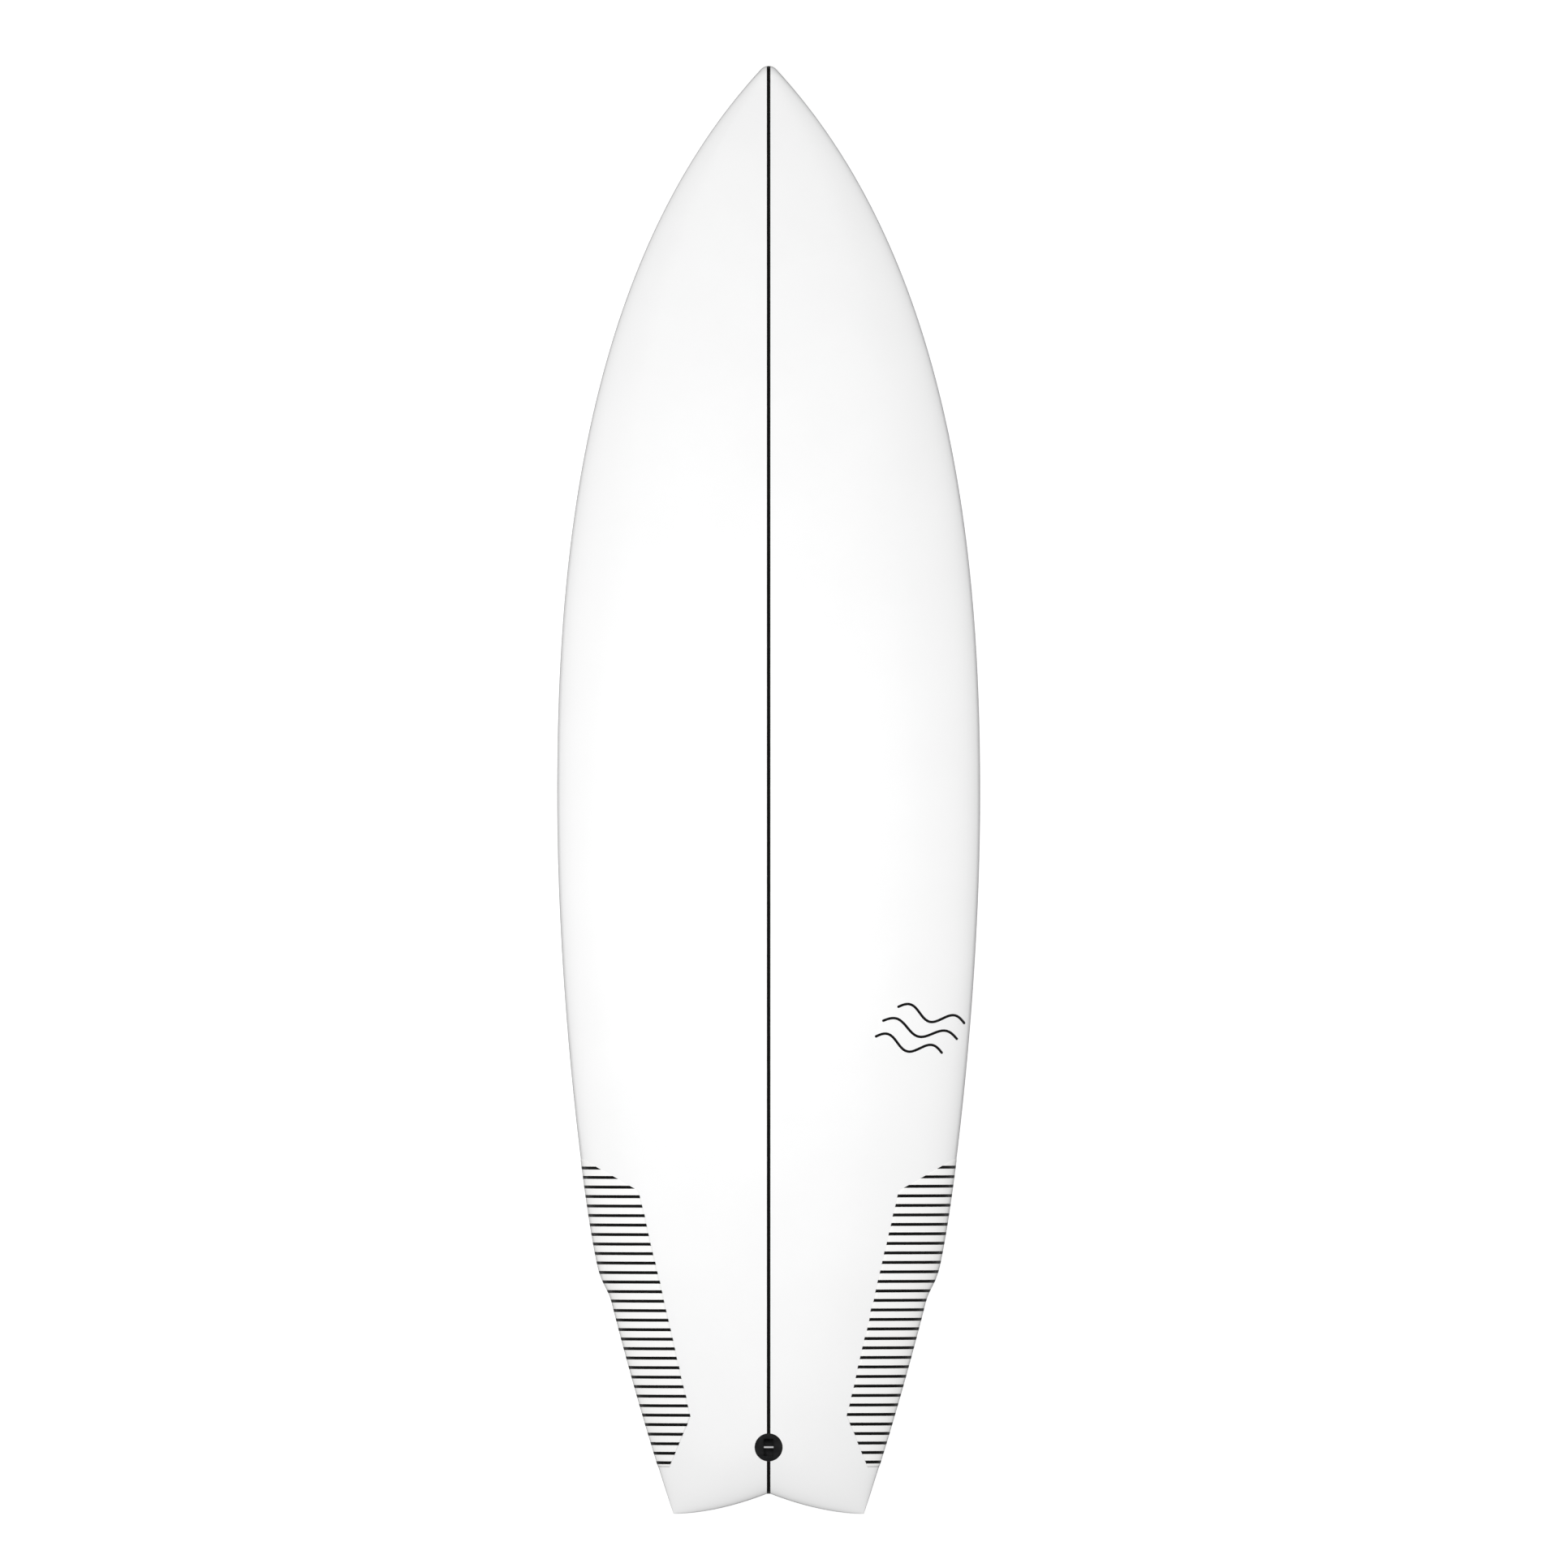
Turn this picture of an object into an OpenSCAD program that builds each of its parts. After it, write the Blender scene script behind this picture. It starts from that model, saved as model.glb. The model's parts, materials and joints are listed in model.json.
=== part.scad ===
// Shortboard surfboard: foam core, stringer, laminate skins, carbon-striped tail patches,
// leash plug, three fin boxes and three removable fins.
// The board lies deck up, on the lowest stretch of its bottom and on its fin tips.
// +Y runs to the nose, +X to the right rail seen from above, +Z up.

/* [Board] */
// Length from the nose tip to the tail tips
board_len = 1778; // [1740:1:1820]
// Greatest width
board_w = 520.8; // [505:0.1:535]
// Greatest thickness
board_t = 63.5; // [60:0.5:67]
// Height that the nose tip curves up
nose_rocker = 118; // [105:1:130]
// Height that the tail curves up
tail_rocker = 56; // [50:1:62]
// Depth of the hollow along the middle of the bottom
concave = 3; // [1:0.1:4]
// Thickness of the laminate skins
skin_t = 1.2; // [1:0.1:1.5]
// Thickness of the stringer
stringer_t = 4; // [3:0.1:5]

/* [Nose and tail] */
// Thickness of the nose just behind its rounded tip
nose_t = 13; // [11:0.5:16]
// Radius of the nose tip in plan
nose_r = 13; // [11:0.5:15]
// Angle of the nose edges to the centre line
nose_angle = 43; // [40:1:46]
// Thickness of the tail just ahead of its rounded end
tail_t = 18; // [16:0.5:20]
// Width between the two tail tips
tail_w = 234.2; // [225:0.1:243]
// Depth of the swallow notch
notch_depth = 25.5; // [15:0.5:30]
// Length over which the tail end is rounded off
tail_round_len = 10; // [8:0.5:12]
// Length over which the deck falls to the tail's edge
tail_deck_len = 80; // [60:5:100]

/* [Rail patches] */
// Number of carbon tows in each patch
tow_count = 32; // [8:1:32]
// Spacing of the tows along the board
tow_pitch = 11.677; // [11:0.001:11.7]
// Width of one tow
tow_w = 3.4; // [2:0.1:5]
// Thickness of the patch cloth
patch_t = 0.3; // [0.2:0.05:0.5]
// Thickness of a tow
tow_t = 0.2; // [0.15:0.05:0.4]

/* [Leash plug] */
// Distance from the tail tips forward to the plug's centre
plug_from_tail = 82; // [80:0.5:84]
// Diameter of the plug's flange
plug_d = 34.3; // [32:0.1:36]
// Diameter of the plug's body
plug_body_d = 28; // [26:0.5:29]
// Depth of the plug's body
plug_depth = 19; // [17:0.5:20]
// Width of the pocket across the board
pocket_w = 12; // [10:0.5:13]
// Length of the pocket along the board
pocket_len = 21.5; // [18:0.5:22]
// Diameter of the steel bar
bar_d = 2.4; // [2:0.1:3]

/* [Fins] */
// Length of a fin's base
fin_base = 111; // [108:0.5:112]
// Depth of a fin below the board
fin_depth = 115; // [105:1:120]
// Thickness of a fin at its base
fin_t = 6.3; // [5.5:0.1:6.4]
// Outward lean of the side fins
fin_cant = 6.5; // [3:0.5:8]
// Angle of the side fins towards the nose's centre line
fin_toe = 3; // [1:0.5:4]
// Distance from the tail tips to the middle of a side fin's base
side_fin_from_tail = 337; // [330:1:345]
// Distance from the centre line to the middle of a side fin's base
side_fin_x = 162; // [155:0.5:163]
// Distance from the tail tips to the middle of the centre fin's base
center_fin_from_tail = 174; // [172:1:185]

/* [Fin boxes] */
// Width of a box's flange
flange_w = 22; // [20:0.5:24]
// Width of a box's body
box_w = 14; // [12:0.5:16]
// Depth of a box's body
box_depth = 18.5; // [18:0.5:19]
// Length of a fin's tab
tab_len = 113.4; // [112.5:0.1:113.6]
// Thickness of a fin's tab
tab_t = 6.4; // [6.4:0.1:6.5]
// Diameter of a grub screw
screw_d = 5; // [4:0.5:5]
// Length of a grub screw
screw_len = 7.9; // [6:0.1:8]

/* [Hidden] */
$fn = 48;

LEFT = -1;
RIGHT = 1;
CENTER = 0;

// Every length s below runs from the nose tip towards the tail.
half_w = board_w / 2;
wide_s = 0.5034 * board_len;
wing_s = board_len - 306;
wing_end_s = board_len - 258;
wing_half_w = half_w - 49.7;
flat_s = 0.52 * board_len;
thick_s = 0.47 * board_len;
deck_power = 2.4;

// Gaps that keep neighbouring pieces from cutting into each other
glue_gap = 0.1;
core_inset = skin_t + 0.35;
patch_gap = 0.25;
tow_gap = 0.2;
hole_gap = 0.2;

// ---- curves ----

function mix(a, b, t) = a + (b - a) * t;

function smooth(from, to, x) =
    let (t = max(0, min(1, (x - from) / (to - from))))
    t * t * (3 - 2 * t);

function bezier(p, t) =
    pow(1 - t, 3) * p[0] + 3 * pow(1 - t, 2) * t * p[1] + 3 * (1 - t) * t * t * p[2] + t * t * t * p[3];

// Height of a curve above its first axis at s, found by halving the range of t
function curve_at(p, s, lo = 0, hi = 1, steps = 22) =
    let (mid = (lo + hi) / 2)
    steps == 0 ? bezier(p, mid)[1]
    : bezier(p, mid)[0] < s ? curve_at(p, s, mid, hi, steps - 1)
    : curve_at(p, s, lo, mid, steps - 1);

// ---- plan outline ----

nose_arc_end = nose_r * [1 - sin(nose_angle), cos(nose_angle)];
front_curve = [
    nose_arc_end,
    nose_arc_end + 336 * [cos(nose_angle), sin(nose_angle)],
    [wide_s - 252, half_w],
    [wide_s, half_w]
];
middle_curve = [
    [wide_s, half_w],
    [wide_s + 239, half_w],
    [wing_s - 80, wing_half_w + 17.7],
    [wing_s, wing_half_w]
];
wing_end_half_w = tail_half_w(wing_end_s);
wing_curve = [
    [wing_s, wing_half_w],
    [wing_s + 26, wing_half_w - 5.8],
    [wing_end_s - 20, wing_end_half_w + 5],
    [wing_end_s, wing_end_half_w]
];

function tail_half_w(s) =
    let (d = board_len - s)
    tail_w / 2 + 0.331 * d - 0.00015 * d * d;

function half_width(s) =
    s < nose_arc_end[0] ? sqrt(max(0, 2 * nose_r * s - s * s))
    : s < wide_s ? curve_at(front_curve, s)
    : s < wing_s ? curve_at(middle_curve, s)
    : s < wing_end_s ? curve_at(wing_curve, s)
    : tail_half_w(s);

// How far the tail's end lies ahead of its tips, at x across the board
function notch(x) = notch_depth * pow(max(0, 1 - abs(x) / (tail_w / 2)), 1.8);

// ---- section ----

function rocker(s) =
    s < flat_s ? nose_rocker * pow(1 - s / flat_s, 2.6)
    : tail_rocker * pow((s - flat_s) / (board_len - flat_s), 2.2);

function thickness(s) =
    s < thick_s ? mix(board_t, nose_t, pow(1 - s / thick_s, 1.65))
    : mix(board_t, tail_t, pow((s - thick_s) / (board_len - thick_s), 2.1));

function apex_share(s) = mix(0.42, 0.3, smooth(wide_s, board_len, s));

function rail_z(s) = rocker(s) + apex_share(s) * thickness(s);

function bottom_power(s) =
    s < wide_s ? mix(3, 4.5, smooth(0, wide_s, s)) : mix(4.5, 8, smooth(wide_s, board_len, s));

function hollow(s) = concave * smooth(300, 800, s) * (1 - smooth(board_len - 500, board_len - 100, s));

function dome(u, power) = pow(max(0, 1 - pow(min(1, abs(u)), power)), 1 / power);

// Inset surfaces start a little behind the nose tip, because the nose is a wedge in plan.
function nose_gap(inset) = 1.6 * max(0, inset);

function end_round(s, x, inset, tail_len, power) =
    let (from_nose = (s - nose_gap(inset)) / nose_r)
    let (from_tail = (board_len - notch(x) - s - max(0, inset)) / tail_len)
    dome(1 - min(1, max(0, from_nose)), 2) * dome(1 - min(1, max(0, from_tail)), power);

function deck_z(s, x, w, inset) =
    let (h = (1 - apex_share(s)) * thickness(s) - inset)
    rail_z(s) + h * end_round(s, x, inset, tail_deck_len, deck_power) * dome(x / w, deck_power);

function bottom_z(s, x, w, inset) =
    let (h = apex_share(s) * thickness(s) - inset)
    let (u = min(1, abs(x) / w))
    rail_z(s) - h * end_round(s, x, inset, tail_round_len, 3) * dome(u, bottom_power(s)) + hollow(s) * pow(1 - u * u, 2);

// A point of the hull surface. Rows bend forward near the tail, to end along the notch.
function surface_point(row_s, row_w, x, deck, inset) =
    let (bend = smooth(board_len - 240, board_len - tail_round_len, row_s))
    let (s = row_s - bend * notch(x))
    let (w = bend == 0 ? row_w : half_width(s) - inset)
    [x, board_len / 2 - s, deck ? deck_z(s, x, w, inset) : bottom_z(s, x, w, inset)];

// ---- rows along the board and columns across it ----

// Distances of the last rows from the tail's end
tail_steps = concat(
    [for (share = [0.75, 0.525, 0.35, 0.225]) tail_deck_len * share],
    [for (a = [90, 70, 50, 32, 16, 0.5]) tail_round_len * (1 - cos(a))]
);

hull_rows = concat(
    [for (i = [1:11]) 170 * pow(i / 11, 2.5)],
    [for (i = [1:16]) mix(170, 1300, i / 16)],
    [for (i = [1:4]) mix(1300, wing_s, i / 4)],
    [for (i = [1:6]) mix(wing_s, wing_end_s, i / 6)],
    [for (i = [1:5]) mix(wing_end_s, board_len - tail_deck_len, i / 5)],
    [for (d = tail_steps) board_len - d]
);

function inset_row(s, inset) =
    inset <= 0 ? s : nose_gap(inset) + s * (1 - (nose_gap(inset) + inset) / board_len);

across = 9;
rail_us = [for (i = [1:across]) sin(90 * i / across)];
deck_us = concat([for (i = [across:-1:1]) -rail_us[i - 1]], [0], rail_us);
lap_u = 0.92;
lap_us = [0.99, 0.965, lap_u];

function hull_row(row_s, us, deck, inset) =
    let (s = inset_row(row_s, inset))
    let (w = half_width(s) - inset)
    [for (u = us) surface_point(s, w, w * u, deck, inset)];

function backwards(list) = [for (i = [len(list) - 1:-1:0]) list[i]];

function flatten(lists) = [for (list = lists, item = list) item];

// ---- solids built from rows of points ----

// Two triangles for each cell of a grid of points, numbered from first
function grid_faces(rows, cols, first, flip) = [
    for (i = [0:rows - 2], j = [0:cols - 2], half = [0, 1])
    let (a = first + i * cols + j)
    let (tri = half == 0 ? [a, a + 1, a + cols + 1] : [a, a + cols + 1, a + cols])
    flip ? backwards(tri) : tri
];

// A wall between two chains of point numbers
function wall_faces(top, under) = [
    for (i = [0:len(top) - 2], half = [0, 1])
    half == 0 ? [top[i], under[i], under[i + 1]] : [top[i], under[i + 1], top[i + 1]]
];

// A closed sheet between an outer and an inner grid of points of the same size
module sheet(outer, inner) {
    rows = len(outer);
    cols = len(outer[0]);
    n = rows * cols;
    start = [for (j = [0:cols - 1]) j];
    end = [for (j = [cols - 1:-1:0]) (rows - 1) * cols + j];
    side_a = [for (i = [rows - 1:-1:0]) i * cols];
    side_b = [for (i = [0:rows - 1]) i * cols + cols - 1];
    rim = [start, side_b, end, side_a];
    polyhedron(
        points = concat(flatten(outer), flatten(inner)),
        faces = concat(
            grid_faces(rows, cols, 0, false),
            grid_faces(rows, cols, n, true),
            [for (chain = rim) each wall_faces(chain, [for (k = chain) k + n])]
        ),
        convexity = 6
    );
}

// Triangles across one ring, pairing its first half with its second half
function cap_faces(m, first, flip) = [
    for (half = [0, 1], j = [0:(half == 0 ? ceil(m / 2) : floor(m / 2)) - 2])
    let (tri = half == 0 ? [j, j + 1, m - 1 - j] : [j + 1, m - 2 - j, m - 1 - j])
    [for (k = flip ? backwards(tri) : tri) first + k]
];

// A closed solid through rings of points
module loft(rings) {
    rows = len(rings);
    m = len(rings[0]);
    polyhedron(
        points = flatten(rings),
        faces = concat(
            [
                for (i = [0:rows - 2], j = [0:m - 1], half = [0, 1])
                let (a = i * m + j)
                let (b = i * m + (j + 1) % m)
                half == 0 ? [a, b, b + m] : [a, b + m, a + m]
            ],
            cap_faces(m, 0, true),
            cap_faces(m, (rows - 1) * m, false)
        ),
        convexity = 6
    );
}

// ---- placing: a frame is [rotation, position] ----

function rot_x(a) = [[1, 0, 0], [0, cos(a), -sin(a)], [0, sin(a), cos(a)]];
function rot_y(a) = [[cos(a), 0, sin(a)], [0, 1, 0], [-sin(a), 0, cos(a)]];
function rot_z(a) = [[cos(a), -sin(a), 0], [sin(a), cos(a), 0], [0, 0, 1]];

module place(frame) {
    r = frame[0];
    p = frame[1];
    multmatrix([
        [r[0][0], r[0][1], r[0][2], p[0]],
        [r[1][0], r[1][1], r[1][2], p[1]],
        [r[2][0], r[2][1], r[2][2], p[2]]
    ])
        children();
}

// Frame on the hull surface at s and x: z points out of the board, y forward
slope_step = 20;

function hull_height(s, x, deck) =
    let (w = half_width(s))
    deck ? deck_z(s, x, w, 0) : bottom_z(s, x, w, 0);

function surface_frame(s, x, deck, sunk, turn) =
    let (z = hull_height(s, x, deck))
    let (rise_y = hull_height(s - slope_step, x, deck) - hull_height(s + slope_step, x, deck))
    let (rise_x = hull_height(s, x + slope_step / 2, deck) - hull_height(s, x - slope_step / 2, deck))
    let (pitch = atan(rise_y / (2 * slope_step)))
    let (roll = atan(rise_x / slope_step))
    [
        rot_x(pitch) * rot_y(-roll) * rot_z(turn) * rot_y(deck ? 0 : 180),
        [x, board_len / 2 - s, z + (deck ? -sunk : sunk)]
    ];

flange_sunk = 0.2;

function box_frame(side) =
    side == CENTER ? surface_frame(board_len - center_fin_from_tail, 0, false, flange_sunk, 0)
    : surface_frame(board_len - side_fin_from_tail, side * side_fin_x, false, flange_sunk, side * fin_toe);

plug_s = board_len - plug_from_tail;
plug_frame = surface_frame(plug_s, 0, true, 0, 0);

// ---- fin shape: c runs back from the front of the base, h down from the board ----

tab_top = 0.9;
root_h = tab_top / 2;
fin_tip = [fin_base + 18.5, fin_depth - 2.5];
leading_edge = [
    [[0, root_h], [26, 50], [72, fin_depth], [fin_base + 11, fin_depth]],
    [[fin_base + 11, fin_depth], [fin_base + 15, fin_depth], [fin_base + 17, fin_depth - 1], fin_tip]
];
trailing_edge = [
    [[fin_base, root_h], [fin_base - 9, 36], [fin_base + 4, 84], [fin_base + 20, fin_depth - 9]],
    [[fin_base + 20, fin_depth - 9], [fin_base + 21, fin_depth - 6], [fin_base + 20, fin_depth - 4], fin_tip]
];
fin_rows = concat([for (i = [0:9]) i / 9], [1.3, 1.6, 1.85, 1.96]);
foil_cs = [for (j = [7:-1:0]) pow(j / 7, 1.7)];

function edge_point(edge, v) = v < 1 ? bezier(edge[0], v) : bezier(edge[1], v - 1);

// Share of the full thickness at c, from 0 at the leading edge to 1 at the trailing edge
function foil(c) = c < 0.33 ? dome(1 - c / 0.33, 2) : 1 - 0.9 * pow((c - 0.33) / 0.67, 1.7);

function fin_ring(side, v) =
    let (le = edge_point(leading_edge, v))
    let (te = edge_point(trailing_edge, v))
    let (t = fin_t * mix(1, 0.24, le[1] / fin_depth) * dome(max(0, v - 1), 2))
    let (flat_x = side == CENTER ? 0 : side * fin_t / 2)
    let (outer_share = side == CENTER ? 0.5 : side)
    let (outer = [for (c = foil_cs) let (p = mix(le, te, c))
        [flat_x - outer_share * t * foil(c), fin_base / 2 - p[0], p[1]]])
    let (inner = [for (c = foil_cs) let (p = mix(le, te, c))
        [flat_x + (side == CENTER ? 0.5 * t * foil(c) : 0), fin_base / 2 - p[0], p[1]]])
    concat(outer, [for (j = [len(inner) - 2:-1:0]) inner[j]]);

function cant(side) = rot_y(-side * fin_cant);

function fin_rings(side) = [
    for (v = fin_rows)
    let (ring = fin_ring(side, v))
    [for (p = side == LEFT ? backwards(ring) : ring) cant(side) * p]
];

// ---- resting pose: leaned nose down until the bottom and the fin tips both touch the floor ----

bottom_half_us = concat([for (u = rail_us) if (u < lap_u) u], [lap_u]);
bottom_us = concat(-backwards(bottom_half_us), [0], bottom_half_us);
bottom_grid = [for (s = hull_rows) hull_row(s, bottom_us, false, 0)];
deck_grid = [for (s = hull_rows) hull_row(s, deck_us, true, 0)];
fin_points = [
    for (side = [LEFT, CENTER, RIGHT], ring = fin_rings(side), p = ring)
    let (frame = box_frame(side))
    frame[0] * p + frame[1]
];
belly_points = flatten(bottom_grid);

function lowest(points, lean) = min([for (p = points) p[2] * cos(lean) - p[1] * sin(lean)]);

function find_lean(lo, hi, steps) =
    let (mid = (lo + hi) / 2)
    steps == 0 ? mid
    : lowest(belly_points, mid) > lowest(fin_points, mid) ? find_lean(mid, hi, steps - 1)
    : find_lean(lo, mid, steps - 1);

lean = find_lean(0, 10, 24);
floor_drop = lowest(belly_points, lean);
deck_ys = [for (p = flatten(deck_grid)) p[1] * cos(lean) + p[2] * sin(lean)];
middle_y = (max(deck_ys) + min(deck_ys)) / 2;

module on_floor() {
    translate([0, -middle_y, -floor_drop])
        rotate([-lean, 0, 0])
            children();
}

// ---- core and skins ----

core_x = stringer_t / 2 + glue_gap;

function core_ring(row_s) =
    let (s = inset_row(row_s, core_inset))
    let (w = half_width(s) - core_inset)
    let (xs = [for (i = [0:across]) mix(core_x, w, sin(90 * i / across))])
    concat(
        [for (x = xs) surface_point(s, w, x, true, core_inset)],
        [for (i = [across - 1:-1:0]) surface_point(s, w, xs[i], false, core_inset)]
    );

module core_half(side) {
    rings = [for (s = hull_rows) core_ring(s)];
    mirrored = [for (ring = rings) [for (p = backwards(ring)) [-p[0], p[1], p[2]]]];
    on_floor()
        difference() {
            loft(side == RIGHT ? rings : mirrored);
            place(plug_frame) plug_block_space(hole_gap);
            place(box_frame(CENTER)) fin_block_space(hole_gap);
            place(box_frame(side)) fin_block_space(hole_gap);
        }
}

module core_left() {
    color("ghostwhite") core_half(LEFT);
}

module core_right() {
    color("ghostwhite") core_half(RIGHT);
}

module stringer() {
    first_s = nose_gap(core_inset);
    last_s = board_len - notch_depth - core_inset;
    nose_part = [for (i = [1:8]) first_s + nose_r * (1 - cos(90 * i / 8))];
    long_part = [for (i = [1:38]) mix(first_s + nose_r, last_s - tail_deck_len, i / 38)];
    tail_part = [for (d = tail_steps) last_s - d];
    all_s = concat(nose_part, long_part, tail_part);
    top = [for (s = all_s) [board_len / 2 - s, deck_z(s, 0, half_width(s), core_inset)]];
    under = [for (s = all_s) [board_len / 2 - s, bottom_z(s, 0, half_width(s), core_inset)]];
    tip = [board_len / 2 - first_s, rail_z(first_s)];
    color("black")
        on_floor()
            difference() {
                rotate([90, 0, 90])
                    linear_extrude(height = stringer_t, center = true)
                        polygon(concat([tip], top, backwards(under)));
                place(plug_frame) plug_block_space(hole_gap);
                place(box_frame(CENTER)) fin_block_space(hole_gap);
            }
}

function deck_skin_row(s, inset) =
    concat(
        backwards(hull_row(s, -lap_us, false, inset)),
        hull_row(s, deck_us, true, inset),
        hull_row(s, lap_us, false, inset)
    );

module deck_skin() {
    color("white")
        on_floor()
            difference() {
                sheet(
                    [for (s = hull_rows) deck_skin_row(s, 0)],
                    [for (s = hull_rows) deck_skin_row(s, skin_t)]
                );
                place(plug_frame)
                    translate([0, 0, -5])
                        cylinder(d = plug_d + hole_gap, h = 10);
            }
}

module bottom_skin() {
    butt_us = 0.9995 * bottom_us;
    color("whitesmoke")
        on_floor()
            difference() {
                sheet(
                    [for (s = hull_rows) backwards(hull_row(s, butt_us, false, 0))],
                    [for (s = hull_rows) backwards(hull_row(s, butt_us, false, skin_t))]
                );
                for (side = [LEFT, CENTER, RIGHT])
                    place(box_frame(side))
                        translate([0, 0, -5])
                            box_track(flange_w / 2 + hole_gap, 0, 10);
            }
}

// ---- tail rail patches ----

// Inner edge of a patch, as [s, x] corners: front point at the rail, wide, narrow and rear end
patch_corners = [
    [board_len - 437, half_width(board_len - 437) - 1],
    [board_len - 397, 162],
    [board_len - 120, 96],
    [board_len - 57.4, 121.8]
];

function patch_inner_x(s) =
    let (i = s < patch_corners[1][0] ? 0 : s < patch_corners[2][0] ? 1 : 2)
    let (a = patch_corners[i])
    let (b = patch_corners[i + 1])
    mix(a[1], b[1], (s - a[0]) / (b[0] - a[0]));

patch_lap_us = [0.99, 0.965];
patch_step = 0.4;

// Patch points follow the skin's own columns, so that both have the same facets.
function patch_row(side, s, out, from_u) =
    let (w = half_width(s))
    let (x_in = patch_inner_x(s))
    let (columns = [for (i = [from_u:across]) max(rail_us[i - 1] * w, x_in + patch_step * (i - from_u))])
    let (deck_xs = concat([x_in - patch_step], [for (x = columns) min(w, x)]))
    let (w_out = w + out)
    let (right = concat(
        [for (x = deck_xs) surface_point(s, w_out, x * w_out / w, true, -out)],
        [for (u = patch_lap_us) surface_point(s, w_out, u * w_out, false, -out)]
    ))
    side == RIGHT ? right : [for (p = backwards(right)) [-p[0], p[1], p[2]]];

patch_first_u = 5;
first_tow_s = board_len - 426;
patch_rows = concat(
    [for (i = [1:3]) mix(patch_corners[0][0], first_tow_s, i / 4)],
    [for (k = [0:tow_count - 1], part = k < 4 ? [0, 0.5] : [0]) first_tow_s + (k + part) * tow_pitch],
    [patch_corners[3][0]]
);

module rail_patch(side) {
    on_floor()
        sheet(
            [for (s = patch_rows) patch_row(side, s, patch_gap + patch_t, patch_first_u)],
            [for (s = patch_rows) patch_row(side, s, patch_gap, patch_first_u)]
        );
}

module rail_patch_left() {
    color("ivory") rail_patch(LEFT);
}

module rail_patch_right() {
    color("ivory") rail_patch(RIGHT);
}

tow_under = patch_gap + patch_t + tow_gap;

module carbon_tows(side) {
    on_floor()
        for (k = [0:tow_count - 1]) {
            s = first_tow_s + k * tow_pitch;
            edges = [s - tow_w / 2, s + tow_w / 2];
            sheet(
                [for (e = edges) patch_row(side, e, tow_under + tow_t, patch_first_u)],
                [for (e = edges) patch_row(side, e, tow_under, patch_first_u)]
            );
        }
}

module carbon_tows_left() {
    color("black") carbon_tows(LEFT);
}

module carbon_tows_right() {
    color("black") carbon_tows(RIGHT);
}

// ---- leash plug: z = 0 is the flange's top ----

plug_flange_t = 1.6;
pocket_depth = 13;
pocket_corner_r = 1.5;
bar_z = -3.2;
bar_len = 20;
plug_block_d = 44;
plug_block_depth = 21;

module rounded_rect(w, l, r) {
    square([w, l - 2 * r], center = true);
    square([w - 2 * r, l], center = true);
    for (x = [-1, 1], y = [-1, 1])
        translate([x * (w / 2 - r), y * (l / 2 - r)])
            circle(r = r);
}

module plug_bar_rod(d, len) {
    translate([0, 0, bar_z])
        rotate([0, 90, 0])
            cylinder(d = d, h = len, center = true);
}

module plug_block_space(gap) {
    translate([0, 0, -plug_block_depth - 8])
        cylinder(d = plug_block_d + gap, h = plug_block_depth + 16);
}

module leash_plug_cup() {
    color("dimgray")
        on_floor()
            place(plug_frame)
                difference() {
                    union() {
                        translate([0, 0, -plug_flange_t])
                            cylinder(d = plug_d, h = plug_flange_t);
                        translate([0, 0, -plug_depth])
                            cylinder(d = plug_body_d, h = plug_depth - 0.5);
                    }
                    translate([0, 0, -pocket_depth])
                        linear_extrude(height = pocket_depth + 1)
                            rounded_rect(pocket_w, pocket_len, pocket_corner_r);
                    plug_bar_rod(bar_d + 0.06, bar_len + 0.4);
                }
}

module leash_plug_bar() {
    color("silver")
        on_floor()
            place(plug_frame)
                plug_bar_rod(bar_d, bar_len);
}

module leash_plug_block() {
    color("khaki")
        on_floor()
            place(plug_frame)
                difference() {
                    translate([0, 0, -plug_block_depth])
                        cylinder(d = plug_block_d, h = plug_block_depth - plug_flange_t - hole_gap);
                    translate([0, 0, -plug_depth - hole_gap])
                        cylinder(d = plug_body_d + hole_gap, h = plug_depth);
                }
}

// ---- fin boxes, fins and screws: z = 0 is the flange's face, z points out of the board ----

box_flange_t = 1.6;
slot_len = tab_len + 0.6;
slot_w = tab_t + 0.4;
slot_depth = 17;
tab_depth = 16.5;
box_front = 65;
box_rear = -53;
block_margin = 6;
block_depth = 21.5;
screw_angle = 45;
screw_mouth_y = 64.7;
screw_tip_y = tab_len / 2 + screw_d / 2 * cos(screw_angle) + 0.15;
socket_across_flats = 2.5;

// A round-ended track whose edge is r from the line between the end centres
module box_track(r, low, high) {
    translate([0, 0, low])
        linear_extrude(height = high - low) {
            for (y = [box_rear, box_front])
                translate([0, y])
                    circle(r = r);
            translate([-r, box_rear])
                square([2 * r, box_front - box_rear]);
        }
}

module fin_block_space(gap) {
    box_track(flange_w / 2 + block_margin + gap / 2, -block_depth - gap, 6);
}

module screw_line(d, from, to) {
    translate([0, screw_tip_y, screw_tip_y - screw_mouth_y])
        rotate([-screw_angle, 0, 0])
            translate([0, 0, from])
                cylinder(d = d, h = to - from);
}

module fin_box(side) {
    color("black")
        on_floor()
            place(box_frame(side))
                difference() {
                    union() {
                        box_track(flange_w / 2, -box_flange_t, 0);
                        box_track(box_w / 2, -box_depth, -box_flange_t / 2);
                    }
                    translate([-slot_w / 2, -slot_len / 2, -slot_depth])
                        cube([slot_w, slot_len, slot_depth + 1]);
                    screw_line(screw_d + 0.1, -3, screw_len + 6);
                }
}

module fin_box_left() {
    fin_box(LEFT);
}

module fin_box_right() {
    fin_box(RIGHT);
}

module fin_box_center() {
    fin_box(CENTER);
}

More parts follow.
